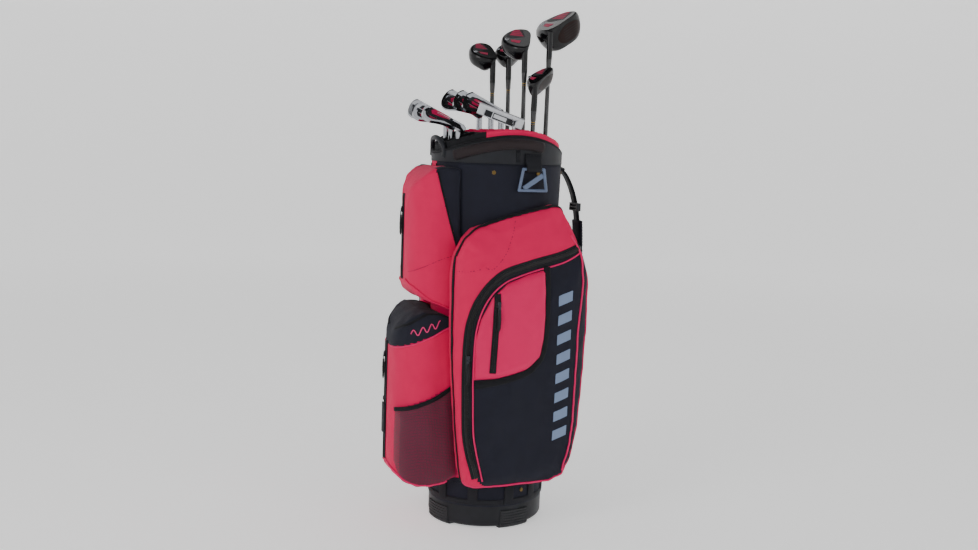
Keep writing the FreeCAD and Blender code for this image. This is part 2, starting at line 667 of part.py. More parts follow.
def wood_body(name, skin):
    long, deep, high, loft, _ = WOODS[name]
    levels = [(0.0, 0.20), (0.07, 0.08), (0.26, 0.0), (0.50, 0.02), (0.72, 0.10), (0.90, 0.24), (1.0, 0.42)]
    wires = []
    for k, shrink in levels:
        z = -(skin + k * (high - 2 * skin))
        wires.append(wood_outline(long, deep, shrink * deep * 0.5 + skin, z, k * high * tan(radians(loft))
                                  - shrink * deep * 0.42))
    return Part.makeLoft(wires, True, False)


def hosel(name, length, r=HOSEL_R):
    """The socket for the shaft, rounded off where it runs into the sole."""
    depth, end = hosel_depth(name), r + 2.5
    tube = Part.makeCylinder(r, depth - end, V(0, 0, length - depth))
    return tube.fuse(Part.makeSphere(r, V(0, 0, length - end)))


def shaft_bore(name, length):
    depth = hosel_depth(name)
    floor = length - depth * BORE_FLOOR
    return cone(shaft_radius(length - depth - 1, length) + GLUE, shaft_radius(floor, length) + GLUE,
                length - depth - 1, floor)


def wood_head(name, length):
    rise = WOODS[name][4]
    outer = sole_frame(wood_body(name, 0), rise, length)
    hollow = sole_frame(wood_body(name, WOOD_SKIN), rise, length)
    head = outer.fuse(hosel(name, length)).cut(hollow.cut(hosel(name, length, HOSEL_R + 0.5)))
    return head.cut(shaft_bore(name, length))


IRON_OUTLINE = [
    (-6, 6), (6, -2), (40, -4), (66, -1), (78, 9), (82.5, 25), (81, 41), (74, 53), (64, 55.5), (44, 46),
    (22, 36.5), (2, 31), (-14, 30), (-20, 20), (-14, 11)]
IRON_CAVITY = [(13, 17), (30, 14.5), (55, 14.5), (70, 17), (76, 26), (74.5, 39), (68, 47.5), (60, 48), (42, 39),
               (22, 30.5), (12, 25)]


def iron_head(name, length):
    """A cavity-back blade, built sole up about the point where the shaft axis meets the ground."""
    loft, rise, sole = IRONS[name]
    outer = iron_outline(IRON_OUTLINE)
    blade = outer.extrude(V(0, 7.0, 0))
    cavity = iron_outline(IRON_CAVITY).extrude(V(0, 30, 0))
    cavity.translate(V(0, 3.0, 0))
    blade = blade.cut(cavity)
    blade.rotate(V(0, 0, 0), V(1, 0, 0), loft)
    blade.translate(V(0, -5.5, 0))
    blade = blade.common(box(-60, 120, -40, 120, -120, 0))
    trimmed = outer.extrude(V(0, 80, 0))
    trimmed.translate(V(0, -20, 0))
    blade = blade.fuse(iron_muscle(loft, sole).common(trimmed))
    blade = sole_frame(blade, rise, length)
    head = blade.fuse(hosel(name, length, HOSEL_R - 0.2))
    return head.cut(shaft_bore(name, length))


def iron_outline(points):
    s = IRON_SCALE
    return Part.Face(Part.Wire([spline([(x * s, 0, -w * s) for x, w in points], True)]))


def iron_muscle(loft, sole):
    """The thick lower part of an iron, from the ground up its back."""
    lean, thick = tan(radians(loft)), 7.0 / cos(radians(loft))
    top = 14.0
    face = [(-60, -5.5, 0), (-60, sole - 5.5, -0.6), (-60, sole - 4.5, -4),
            (-60, top * lean - 5.5 + thick, -top), (-60, top * lean - 5.5, -top)]
    return polygon_face(face).extrude(V(200, 0, 0))


PUTTER_RISE = 19.0


def putter_head(name, length):
    blade = box(-22, 78, -13, 12, -25, 0)
    long = [e for e in blade.Edges if e.BoundBox.YLength < 1e-6 and e.BoundBox.XLength > 50]
    blade = blade.makeFillet(3, long)
    blade = blade.cut(box(-8, 64, 2, 20, -40, -8)).cut(box(12, 44, -2, 20, -40, -8))
    blade = sole_frame(blade, PUTTER_RISE, length)
    head = blade.fuse(hosel(name, length, 6.2))
    return head.cut(shaft_bore(name, length))


def club_head(name, length):
    if name in WOODS:
        return wood_head(name, length)
    if name in IRONS:
        return iron_head(name, length)
    return putter_head(name, length)


def placed(shape, x, y, turn, lean_x, lean_y):
    """From a club's own axes to its place in the bag."""
    along = V(tan(radians(lean_x)), tan(radians(lean_y)), 1)
    lean = FreeCAD.Rotation(V(0, 0, 1), along)
    spin = FreeCAD.Rotation(V(0, 0, 1), turn)
    butt = V(x, y, AIM_Z) - along * (AIM_Z - BUTT_Z)
    out = shape.copy()
    out.Placement = FreeCAD.Placement(butt, lean.multiply(spin)).multiply(shape.Placement)
    return out


def write(node, shape):
    shape.exportStep("parts/" + node + ".step")


def build():
    os.makedirs("parts", exist_ok=True)
    write("base_cup", base_cup())
    write("base_treads", base_treads())
    write("body_tube", body_tube())
    write("frame_stays", frame_stays())
    write("top_collar", top_collar())
    write("divider_top", divider_top())
    write("divider_walls", divider_walls())
    write("metal_fittings", metal_fittings())
    write("handle_bands", handle_bands())
    write("towel_ring", towel_ring())
    write("towel_ring_loop", towel_ring_loop())
    write("garment_pocket_right", garment_pocket())
    write("garment_pocket_left", mirrored(garment_pocket()))
    write("upper_front_pocket", upper_front_pocket())
    write("lower_front_pocket", lower_front_pocket())
    write("mesh_pockets", mesh_pockets())
    write("valuables_pocket", valuables_pocket())
    write("zipper_tracks", zipper_tracks())
    write("shoulder_strap", shoulder_strap())
    skin = FIT + ZIP_H
    side = garment_block(skin)
    right = slider(side, FIT, -102.5, 392, False)
    write("zip_garment_right", right)
    write("zip_garment_left", mirrored(right))
    write("zip_valuables", slider(garment_block(7 + skin), FIT, VALUABLES_ZIP_Y, 508, False))
    write("zip_upper", slider(front_block(UPPER_OUTLINE, UPPER_PLAN, skin), FIT, UPPER_ZIP_X, 690, True))
    write("zip_lower", slider(front_block(LOWER_OUTLINE, LOWER_PLAN, skin), FIT, LOWER_ZIP_X, 372, True))
    for name, (length, x, y, turn, lean_x, lean_y) in CLUBS.items():
        place = (x, y, turn, lean_x, lean_y)
        write(name + "_head", placed(club_head(name, length), *place))
        write(name + "_shaft", placed(club_shaft(name, length), *place))
        write(name + "_grip", placed(club_grip(name, length), *place))


build()
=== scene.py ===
import bpy
import bmesh
import math
from mathutils import Matrix, Vector, noise
from mathutils.bvhtree import BVHTree

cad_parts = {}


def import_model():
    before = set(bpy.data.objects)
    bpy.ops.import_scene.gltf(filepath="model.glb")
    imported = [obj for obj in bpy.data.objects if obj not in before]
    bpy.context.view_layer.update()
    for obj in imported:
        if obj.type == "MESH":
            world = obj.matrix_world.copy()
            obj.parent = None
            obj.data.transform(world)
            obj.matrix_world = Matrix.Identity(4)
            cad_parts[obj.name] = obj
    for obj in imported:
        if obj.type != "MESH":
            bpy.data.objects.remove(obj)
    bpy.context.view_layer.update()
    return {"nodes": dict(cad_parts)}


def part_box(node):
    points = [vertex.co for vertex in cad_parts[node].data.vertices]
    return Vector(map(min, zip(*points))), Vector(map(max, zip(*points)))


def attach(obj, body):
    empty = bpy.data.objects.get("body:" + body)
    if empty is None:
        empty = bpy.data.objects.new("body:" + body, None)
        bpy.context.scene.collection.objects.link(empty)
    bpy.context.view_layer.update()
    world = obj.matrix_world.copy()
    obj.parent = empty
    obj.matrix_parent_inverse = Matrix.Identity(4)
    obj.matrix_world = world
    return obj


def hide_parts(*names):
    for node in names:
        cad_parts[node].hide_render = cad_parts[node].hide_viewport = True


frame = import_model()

MM = 0.001
nodes = frame["nodes"]


# ---------------------------------------------------------------- colours
def linear(code):
    """An sRGB hex colour as linear light."""
    out = []
    for k in (0, 2, 4):
        c = int(code[k:k + 2], 16) / 255
        out.append(c / 12.92 if c <= 0.04045 else ((c + 0.055) / 1.055) ** 2.4)
    return (*out, 1.0)


HOT_PINK = "DC0050"
DEEP_PINK = "BE0044"
NAVY_BLACK = "14151F"
CHARCOAL = "1B1C22"
STEEL_BLUE = "6F819F"


# ---------------------------------------------------------------- materials
def add(tree, kind, links=None, **settings):
    """Adds one shader node with its settings, values and links."""
    n = tree.nodes.new(kind)
    for key, value in settings.items():
        setattr(n, key, value)
    for socket, value in (links or {}).items():
        if isinstance(value, bpy.types.NodeSocket):
            tree.links.new(value, n.inputs[socket])
        else:
            n.inputs[socket].default_value = value
    return n


def surface(name, **sockets):
    """A new material whose shader sockets hold constants."""
    m = bpy.data.materials.new(name)
    m.use_nodes = True
    shader = m.node_tree.nodes["Principled BSDF"]
    for key, value in sockets.items():
        shader.inputs[key.replace("_", " ")].default_value = value
    return m, m.node_tree, shader


def woven(name, base, shade, thread=1.1, roughness=0.72, sheen=0.04, depth=0.35, mottling=0.5):
    """Polyester pack cloth, plain woven and coated on the back: even colour, a fine square grain
    of threads and a soft sheen. Real threads are 0.5 mm apart, drawn at about twice that to show."""
    m, t, shader = surface(name, Roughness=roughness, IOR=1.5, Specular_IOR_Level=0.22, Sheen_Weight=sheen,
                           Sheen_Roughness=0.5)
    place = add(t, "ShaderNodeTexCoord")
    part = add(t, "ShaderNodeSeparateXYZ", {0: place.outputs["Object"]})
    across = add(t, "ShaderNodeMath", {0: part.outputs["X"], 1: part.outputs["Y"]}, operation="ADD")
    step = math.tau / (thread * MM)
    warp = add(t, "ShaderNodeMath", {0: across.outputs[0], 1: step}, operation="MULTIPLY")
    weft = add(t, "ShaderNodeMath", {0: part.outputs["Z"], 1: step}, operation="MULTIPLY")
    warp = add(t, "ShaderNodeMath", {0: warp.outputs[0]}, operation="SINE")
    weft = add(t, "ShaderNodeMath", {0: weft.outputs[0]}, operation="SINE")
    grain = add(t, "ShaderNodeMath", {0: warp.outputs[0], 1: weft.outputs[0]}, operation="MULTIPLY")
    cloud = add(t, "ShaderNodeTexNoise", {"Vector": place.outputs["Object"], "Scale": 34.0, "Detail": 5.0,
                                          "Roughness": 0.6})
    fibre = add(t, "ShaderNodeTexNoise", {"Vector": place.outputs["Object"], "Scale": 900.0, "Detail": 2.0})
    spread = add(t, "ShaderNodeMath", {0: cloud.outputs["Fac"], 1: mottling}, operation="MULTIPLY")
    spread = add(t, "ShaderNodeMath", {0: grain.outputs[0], 1: 0.12, 2: spread.outputs[0]},
                 operation="MULTIPLY_ADD")
    tint = add(t, "ShaderNodeMix", {"Factor": spread.outputs[0], "A": linear(base), "B": linear(shade)},
               data_type="RGBA")
    t.links.new(tint.outputs["Result"], shader.inputs["Base Color"])
    relief = add(t, "ShaderNodeMath", {0: fibre.outputs["Fac"], 1: 0.5, 2: grain.outputs[0]},
                 operation="MULTIPLY_ADD")
    bump = add(t, "ShaderNodeBump", {"Height": relief.outputs[0], "Strength": depth, "Distance": 0.0003})
    t.links.new(bump.outputs["Normal"], shader.inputs["Normal"])
    return m


def webbing_cloth(name, base, pitch=2.2):
    """Nylon webbing: a flat heavy weave whose ribs run across the band."""
    m, t, shader = surface(name, Roughness=0.6, IOR=1.53, Specular_IOR_Level=0.2)
    place = add(t, "ShaderNodeTexCoord")
    part = add(t, "ShaderNodeSeparateXYZ", {0: place.outputs["UV"]})
    rib = add(t, "ShaderNodeMath", {0: part.outputs["X"], 1: math.tau / (pitch * MM)}, operation="MULTIPLY")
    rib = add(t, "ShaderNodeMath", {0: rib.outputs[0]}, operation="SINE")
    fuzz = add(t, "ShaderNodeTexNoise", {"Vector": place.outputs["Object"], "Scale": 500.0, "Detail": 3.0})
    relief = add(t, "ShaderNodeMath", {0: fuzz.outputs["Fac"], 1: 0.8, 2: rib.outputs[0]},
                 operation="MULTIPLY_ADD")
    tint = add(t, "ShaderNodeMix", {"Factor": fuzz.outputs["Fac"], "A": linear(base), "B": linear("1B1C22")},
               data_type="RGBA")
    t.links.new(tint.outputs["Result"], shader.inputs["Base Color"])
    bump = add(t, "ShaderNodeBump", {"Height": relief.outputs[0], "Strength": 0.5, "Distance": 0.0005})
    t.links.new(bump.outputs["Normal"], shader.inputs["Normal"])
    return m


def zip_chain_plastic(name):
    """Coil zip: a glossy nylon coil, one turn every 1.5 mm, drawn at 2.6 mm so that it shows."""
    m, t, shader = surface(name, Roughness=0.32, IOR=1.53, Specular_IOR_Level=0.3,
                           Base_Color=linear("0B0B0D"))
    place = add(t, "ShaderNodeTexCoord")
    part = add(t, "ShaderNodeSeparateXYZ", {0: place.outputs["UV"]})
    turn = add(t, "ShaderNodeMath", {0: part.outputs["X"], 1: math.tau / (2.6 * MM)}, operation="MULTIPLY")
    turn = add(t, "ShaderNodeMath", {0: turn.outputs[0]}, operation="SINE")
    bump = add(t, "ShaderNodeBump", {"Height": turn.outputs[0], "Strength": 0.8, "Distance": 0.0006})
    t.links.new(bump.outputs["Normal"], shader.inputs["Normal"])
    return m


def moulded(name, base, roughness=0.42, grit=420.0, depth=0.25):
    """Injection-moulded polypropylene with a spark-eroded grain, about half a millimetre."""
    m, t, shader = surface(name, Roughness=roughness, IOR=1.49, Specular_IOR_Level=0.25)
    place = add(t, "ShaderNodeTexCoord")
    grain = add(t, "ShaderNodeTexNoise", {"Vector": place.outputs["Object"], "Scale": grit, "Detail": 4.0})
    wear = add(t, "ShaderNodeTexNoise", {"Vector": place.outputs["Object"], "Scale": 18.0, "Detail": 6.0})
    tone = add(t, "ShaderNodeMapRange", {"Value": wear.outputs["Fac"], "From Min": 0.35, "From Max": 0.75,
                                         "To Min": 0.0, "To Max": 0.35})
    tint = add(t, "ShaderNodeMix", {"Factor": tone.outputs["Result"], "A": linear(base), "B": linear("33353C")},
               data_type="RGBA")
    t.links.new(tint.outputs["Result"], shader.inputs["Base Color"])
    bump = add(t, "ShaderNodeBump", {"Height": grain.outputs["Fac"], "Strength": depth, "Distance": 0.0003})
    t.links.new(bump.outputs["Normal"], shader.inputs["Normal"])
    return m


def metal(name, base, roughness, brushed=0.0, direction="Z"):
    """Plated or brushed steel: plating is smooth with faint polishing haze, brushing leaves
    fine lines one way."""
    m, t, shader = surface(name, Metallic=1.0, Base_Color=linear(base))
    place = add(t, "ShaderNodeTexCoord")
    squash = {"X": (40, 900, 900), "Y": (900, 40, 900), "Z": (900, 900, 40)}[direction]
    line = add(t, "ShaderNodeMapping", {"Vector": place.outputs["Object"], "Scale": squash})
    lines = add(t, "ShaderNodeTexNoise", {"Vector": line.outputs["Vector"], "Scale": 1.0, "Detail": 3.0})
    haze = add(t, "ShaderNodeTexNoise", {"Vector": place.outputs["Object"], "Scale": 60.0, "Detail": 4.0})
    level = add(t, "ShaderNodeMapRange", {"Value": haze.outputs["Fac"], "To Min": roughness * 0.75,
                                          "To Max": roughness * 1.35})
    t.links.new(level.outputs["Result"], shader.inputs["Roughness"])
    bump = add(t, "ShaderNodeBump", {"Height": lines.outputs["Fac"], "Strength": 0.05 + brushed,
                                     "Distance": 0.0001})
    t.links.new(bump.outputs["Normal"], shader.inputs["Normal"])
    return m


def lacquer(name, base, fleck, roughness=0.16, coat=1.0):
    """Sprayed gloss lacquer over a primed head or graphite shaft: deep colour under a clear coat,
    with a very fine metallic fleck."""
    m, t, shader = surface(name, Roughness=roughness, Coat_Weight=coat, Coat_Roughness=0.04,
                           Specular_IOR_Level=0.25)
    place = add(t, "ShaderNodeTexCoord")
    cloud = add(t, "ShaderNodeTexNoise", {"Vector": place.outputs["Object"], "Scale": 1400.0, "Detail": 2.0})
    flecks = add(t, "ShaderNodeMapRange", {"Value": cloud.outputs["Fac"], "From Min": 0.55, "From Max": 0.8})
    tint = add(t, "ShaderNodeMix", {"Factor": flecks.outputs["Result"], "A": linear(base), "B": linear(fleck)},
               data_type="RGBA")
    t.links.new(tint.outputs["Result"], shader.inputs["Base Color"])
    return m


def rubber(name, base="131316", pattern=3.2):
    """Moulded rubber with a raised diamond pattern about 3 mm across."""
    m, t, shader = surface(name, Roughness=0.75, IOR=1.52)
    place = add(t, "ShaderNodeTexCoord")
    part = add(t, "ShaderNodeSeparateXYZ", {0: place.outputs["Object"]})
    across = add(t, "ShaderNodeMath", {0: part.outputs["X"], 1: part.outputs["Y"]}, operation="ADD")
    step = math.tau / (pattern * MM)
    one = add(t, "ShaderNodeMath", {0: across.outputs[0], 1: part.outputs["Z"]}, operation="ADD")
    two = add(t, "ShaderNodeMath", {0: across.outputs[0], 1: part.outputs["Z"]}, operation="SUBTRACT")
    one = add(t, "ShaderNodeMath", {0: one.outputs[0], 1: step}, operation="MULTIPLY")
    two = add(t, "ShaderNodeMath", {0: two.outputs[0], 1: step}, operation="MULTIPLY")
    one = add(t, "ShaderNodeMath", {0: one.outputs[0]}, operation="SINE")
    two = add(t, "ShaderNodeMath", {0: two.outputs[0]}, operation="SINE")
    diamond = add(t, "ShaderNodeMath", {0: one.outputs[0], 1: two.outputs[0]}, operation="MAXIMUM")
    dust = add(t, "ShaderNodeTexNoise", {"Vector": place.outputs["Object"], "Scale": 40.0, "Detail": 6.0})
    tint = add(t, "ShaderNodeMix", {"Factor": dust.outputs["Fac"], "A": linear(base), "B": linear("26272B")},
               data_type="RGBA")
    t.links.new(tint.outputs["Result"], shader.inputs["Base Color"])
    bump = add(t, "ShaderNodeBump", {"Height": diamond.outputs[0], "Strength": 0.35, "Distance": 0.0006})
    t.links.new(bump.outputs["Normal"], shader.inputs["Normal"])
    return m


def hole_mesh(name, base):
    """Knitted net: round holes 3 mm apart in a thin yarn, over the cloth behind."""
    m, t, shader = surface(name, Roughness=0.6, IOR=1.5, Sheen_Weight=0.3, Base_Color=linear(base))
    place = add(t, "ShaderNodeTexCoord")
    part = add(t, "ShaderNodeSeparateXYZ", {0: place.outputs["Object"]})
    across = add(t, "ShaderNodeMath", {0: part.outputs["X"], 1: part.outputs["Y"]}, operation="ADD")
    flat = add(t, "ShaderNodeCombineXYZ", {"X": across.outputs[0], "Y": part.outputs["Z"]})
    cells = add(t, "ShaderNodeTexVoronoi", {"Vector": flat.outputs[0], "Scale": 300.0, "Randomness": 0.25},
                voronoi_dimensions="2D")
    hole = add(t, "ShaderNodeMath", {0: cells.outputs["Distance"], 1: 0.36}, operation="GREATER_THAN")
    t.links.new(hole.outputs[0], shader.inputs["Alpha"])
    return m


pink_cloth = woven("pink_pack_cloth", HOT_PINK, DEEP_PINK)
pink_panel = woven("pink_embossed_cloth", "E0045A", "BE0044", thread=4.4, roughness=0.42, depth=0.9)
navy_cloth = woven("navy_pack_cloth", NAVY_BLACK, "1E2030", roughness=0.78, mottling=0.6)
black_cloth = woven("black_binding_cloth", "0C0C10", "17181E", roughness=0.8)
pink_piping = woven("pink_piping_cord", "E31062", "C90B52", thread=1.5, roughness=0.55)
webbing = webbing_cloth("black_nylon_webbing", "101116")
zip_coil = zip_chain_plastic("black_zip_coil")
zip_tape = webbing_cloth("zip_tape_weave", "0D0D11", pitch=1.4)
net = hole_mesh("maroon_knitted_net", "4A0A28")
net_back = woven("maroon_lining", "A00A46", "86083A")
base_plastic = moulded("base_moulded_plastic", "0D0E12")
collar_plastic = moulded("collar_moulded_plastic", "101116", roughness=0.5)
ring_plastic = moulded("ring_steel_blue_plastic", "5E6C86", roughness=0.35, depth=0.1)
tread_rubber = rubber("tread_rubber", pattern=5.0)
grip_rubber = rubber("grip_rubber", pattern=2.6)
handle_cloth = woven("brown_black_padded_cloth", "1E1518", "2A1F20", thread=2.0, roughness=0.6)
print_ink = surface("steel_blue_screen_print", Base_Color=linear(STEEL_BLUE), Roughness=0.55, IOR=1.45)[0]
pale_ink = surface("pale_screen_print", Base_Color=linear("C8CCD4"), Roughness=0.55, IOR=1.45)[0]
pink_ink = surface("pink_screen_print", Base_Color=linear("E0246E"), Roughness=0.5, IOR=1.45)[0]
chrome = metal("chrome_plated_steel", "A9ABB0", 0.12)
satin_steel = metal("satin_brushed_steel", "BDBEC2", 0.3, brushed=0.25)
shaft_steel = metal("stepped_shaft_chrome", "CFD0D4", 0.14)
aged_brass = metal("dark_brass_plate", "6E5A35", 0.3)
slider_metal = metal("black_nickel_slider", "3A3B40", 0.25)
black_lacquer = lacquer("black_head_lacquer", "08080A", "1C1C22", coat=0.12)
shaft_lacquer = lacquer("graphite_shaft_lacquer", "0A0A0C", "202026", roughness=0.22)
bronze_face = metal("dark_bronze_face", "2C2322", 0.35, brushed=0.2, direction="X")
magenta_paint = lacquer("magenta_head_paint", "A00840", "B81452", roughness=0.42, coat=0.0)
graphite_paint = lacquer("dark_grey_head_paint", "16171C", "26272E", roughness=0.42, coat=0.0)
seam_thread = webbing_cloth("bonded_nylon_thread", "2A2B33", pitch=1.0)
lining_cloth = woven("black_lining_cloth", "101015", "1A1B22", roughness=0.85)
pull_rubber = moulded("soft_pvc_pull", "0C0C0E", roughness=0.55)
gold_ring = metal("gold_painted_ring", "A8873F", 0.25)
stay_metal = metal("anodised_stay", "B8BAC0", 0.3, brushed=0.2)


# ---------------------------------------------------------------- mesh tools
def dress(obj, *materials):
    obj.data.materials.clear()
    for m in materials:
        obj.data.materials.append(m)
    return obj


def new_mesh(name, verts, faces, uvs=None, smooth=True, picks=None):
    mesh = bpy.data.meshes.new(name)
    mesh.from_pydata([tuple(v) for v in verts], [], faces)
    if uvs:
        layer = mesh.uv_layers.new(name="weave")
        for loop in mesh.loops:
            layer.data[loop.index].uv = uvs[loop.vertex_index]
    for poly in mesh.polygons:
        poly.use_smooth = smooth
        if picks:
            poly.material_index = picks[poly.index]
    mesh.update()
    obj = bpy.data.objects.new(name, mesh)
    bpy.context.scene.collection.objects.link(obj)
    return obj


def bag_piece(obj, slot, *materials):
    if materials:
        dress(obj, *materials)
    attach(obj, "bag")
    return obj


def rounded(points, step=4 * MM, closed=False):
    """A smooth line through the given corners, in even steps."""
    pts = [Vector(p) for p in points]
    n = len(pts)
    dense = []
    spans = n if closed else n - 1
    for i in range(spans):
        if closed:
            p = [pts[(i + k - 1) % n] for k in range(4)]
        else:
            p = [pts[max(i - 1, 0)], pts[i], pts[i + 1], pts[min(i + 2, n - 1)]]
        count = max(2, int((p[2] - p[1]).length / step))
        for k in range(count):
            u = k / count
            dense.append(0.5 * ((2 * p[1]) + (p[2] - p[0]) * u + (2 * p[0] - 5 * p[1] + 4 * p[2] - p[3]) * u * u
                                + (3 * p[1] - p[0] - 3 * p[2] + p[3]) * u ** 3))
    if not closed:
        dense.append(pts[-1])
    return dense


def tree_of(obj):
    mesh = obj.data
    return BVHTree.FromPolygons([v.co.copy() for v in mesh.vertices], [tuple(p.vertices) for p in mesh.polygons])


def lay_on(tree, line, way, lift=0.0):
    """Drops a line onto a surface along a direction; returns points with their normals."""
    out = []
    for p in line:
        hit, normal, _, _ = tree.ray_cast(p - way * 0.6, way)
        if hit is None:
            continue
        if normal.dot(way) > 0:
            normal = -normal
        out.append((hit + normal * lift, normal))
    return out


def side_line(tree, yz, lift=0.0, side=1, closed=False, step=4 * MM):
    """A line over the camera side of the bag, given as (y, z) in millimetres."""
    pts = rounded([(0.0, y * MM, z * MM) for y, z in yz], step, closed)
    return lay_on(tree, pts, Vector((-side, 0, 0)), lift)


def front_line(tree, xz, lift=0.0, closed=False, step=4 * MM):
    pts = rounded([(x * MM, 0.0, z * MM) for x, z in xz], step, closed)
    return lay_on(tree, pts, Vector((0, 1, 0)), lift)


def evened(track, passes=3):
    """Evens out the normals along a laid line, so that a band on it doesn't flutter."""
    for _ in range(passes):
        ns = [n for _, n in track]
        track = [(p, (ns[max(i - 1, 0)] + ns[i] * 2 + ns[min(i + 1, len(ns) - 1)]).normalized())
                 for i, (p, _) in enumerate(track)]
    return track


def sweep(name, track, profile, closed=False, caps=True):
    """A band or cord of a given section along a laid line. The section is (side, height)."""
    verts, faces, uvs = [], [], []
    n, m = len(track), len(profile)
    run = 0.0
    for i, (p, up) in enumerate(track):
        a = track[i - 1][0] if i or closed else p
        b = track[(i + 1) % n][0] if i + 1 < n or closed else p
        along = (b - a).normalized()
        side = along.cross(up).normalized()
        up = side.cross(along).normalized()
        if i:
            run += (p - track[i - 1][0]).length
        for k, (s, h) in enumerate(profile):
            verts.append(p + side * s + up * h)
            uvs.append((run, k / m))
    for i in range(n if closed else n - 1):
        j = (i + 1) % n
        for k in range(m):
            q = (k + 1) % m
            faces.append((i * m + k, i * m + q, j * m + q, j * m + k))
    if caps and not closed:
        faces.append(tuple(range(m))[::-1])
        faces.append(tuple((n - 1) * m + k for k in range(m)))
    obj = new_mesh(name, verts, faces, uvs)
    bm = bmesh.new()
    bm.from_mesh(obj.data)
    bmesh.ops.recalc_face_normals(bm, faces=bm.faces)
    bm.to_mesh(obj.data)
    bm.free()
    return obj


def cord_section(r, count=8):
    return [(r * math.cos(math.tau * k / count), r * math.sin(math.tau * k / count)) for k in range(count)]


def band_section(width, thick, crown=0.0):
    w, t = width / 2, thick
    return [(-w, 0), (-w, t * 0.6), (-w * 0.86, t), (0, t + crown), (w * 0.86, t), (w, t * 0.6), (w, 0)]


def inside(point, ring):
    """Whether a flat point is inside a ring of corners."""
    x, y = point
    hit = False
    for (ax, ay), (bx, by) in zip(ring, ring[1:] + ring[:1]):
        if (ay > y) != (by > y) and x < (bx - ax) * (y - ay) / (by - ay) + ax:
            hit = not hit
    return hit


def near(point, line):
    """Distance from a flat point to an open line of corners."""
    best = 1e9
    px, py = point
    for (ax, ay), (bx, by) in zip(line, line[1:]):
        dx, dy = bx - ax, by - ay
        k = max(0.0, min(1.0, ((px - ax) * dx + (py - ay) * dy) / (dx * dx + dy * dy)))
        best = min(best, math.hypot(px - ax - k * dx, py - ay - k * dy))
    return best


def skin_of(node, name, voxel=5.0, smooth=6, mirror=False):
    """The outside of a CAD pocket, remeshed evenly so that cloth can be worked on it."""
    source = nodes[node]
    mesh = source.data.copy()
    obj = bpy.data.objects.new(name, mesh)
    bpy.context.scene.collection.objects.link(obj)
    bm = bmesh.new()
    bm.from_mesh(mesh)
    bmesh.ops.remove_doubles(bm, verts=bm.verts, dist=1e-5)
    keep = biggest_part(bm)
    bmesh.ops.delete(bm, geom=[v for v in bm.verts if v not in keep], context="VERTS")
    bm.to_mesh(mesh)
    bm.free()
    mesh.materials.clear()
    bpy.context.view_layer.objects.active = obj
    for o in bpy.context.selected_objects:
        o.select_set(False)
    obj.select_set(True)
    remesh = obj.modifiers.new("even", "REMESH")
    remesh.mode = "VOXEL"
    remesh.voxel_size = voxel * MM
    relax = obj.modifiers.new("relax", "SMOOTH")
    relax.factor, relax.iterations = 0.5, smooth
    settle(obj)
    for poly in obj.data.polygons:
        poly.use_smooth = True
    return obj


def biggest_part(bm):
    bm.verts.ensure_lookup_table()
    seen, best, reach = set(), set(), -1.0
    for start in bm.verts:
        if start in seen:
            continue
        part, stack = set(), [start]
        while stack:
            v = stack.pop()
            if v in part:
                continue
            part.add(v)
            stack.extend(e.other_vert(v) for e in v.link_edges if e.other_vert(v) not in part)
        seen |= part
        low = Vector((min(v.co[k] for v in part) for k in range(3)))
        high = Vector((max(v.co[k] for v in part) for k in range(3)))
        if (high - low).length > reach:
            best, reach = part, (high - low).length
    return best


def settle(obj):
    """Turns an object's modifiers into its mesh."""
    view = bpy.context.evaluated_depsgraph_get()
    made = bpy.data.meshes.new_from_object(obj.evaluated_get(view))
    old = obj.data
    obj.modifiers.clear()
    obj.data = made
    bpy.data.meshes.remove(old)


def puff(obj, held, pressure=3.0, frames=14, cap=7 * MM, stiff=12.0):
    """Fills a sewn pocket with air as cloth; its seams, where held gives 1, stay put."""
    start = [v.co.copy() for v in obj.data.vertices]
    group = obj.vertex_groups.new(name="seams")
    for v in obj.data.vertices:
        group.add([v.index], held(v.co), "REPLACE")
    cloth = obj.modifiers.new("cloth", "CLOTH")
    s = cloth.settings
    s.quality, s.mass, s.air_damping = 6, 0.3, 4.0
    s.tension_stiffness = s.compression_stiffness = stiff
    s.bending_stiffness = 1.5
    s.use_pressure, s.uniform_pressure_force = True, pressure
    s.vertex_group_mass = "seams"
    s.effector_weights.gravity = 0.0
    scene = bpy.context.scene
    for f in range(1, frames + 1):
        scene.frame_set(f)
    settle(obj)
    scene.frame_set(1)
    for v, s0 in zip(obj.data.vertices, start):
        d = v.co - s0
        if d.length > cap:
            v.co = s0 + d * (cap / d.length)
    obj.vertex_groups.clear()


def wrinkle(obj, amount, scale, stretch=(1, 1, 1), where=None, seed=0.0):
    """Soft folds: moves the cloth in and out along its normal."""
    mesh = obj.data
    normals = [v.normal.copy() for v in mesh.vertices]
    for v, n in zip(mesh.vertices, normals):
        p = Vector((v.co.x * stretch[0], v.co.y * stretch[1], v.co.z * stretch[2])) * scale
        w = noise.fractal(p + Vector((seed, seed * 0.7, 0)), 0.9, 2.0, 3)
        v.co += n * (w * amount * (where(v.co) if where else 1.0))


def pick_faces(obj, choose):
    for poly in obj.data.polygons:
        poly.material_index = choose(poly.center, poly.normal)


def piping(name, track, radius=2.3, material=None, closed=False):
    return bag_piece(sweep(name, evened(track), cord_section(radius * MM), closed), "pink_fabric",
                     material or pink_piping)


def binding(name, track, width, thick=1.4, material=None, crown=0.4):
    return bag_piece(sweep(name, evened(track), band_section(width * MM, thick * MM, crown * MM)), "webbing",
                     material or black_cloth)


def zip_run(name, track, tape=17.0, chain=6.0):
    """A zip: woven tape either side of a raised coil."""
    track = evened(track)
    under = bag_piece(sweep(name + "_tape", track, band_section(tape * MM, 0.9 * MM)), "zip_tape", zip_tape)
    over = bag_piece(sweep(name + "_coil", [(p + n * 0.7 * MM, n) for p, n in track],
                           band_section(chain * MM, 1.6 * MM, 0.5 * MM)), "zip_tape", zip_coil)
    return under, over


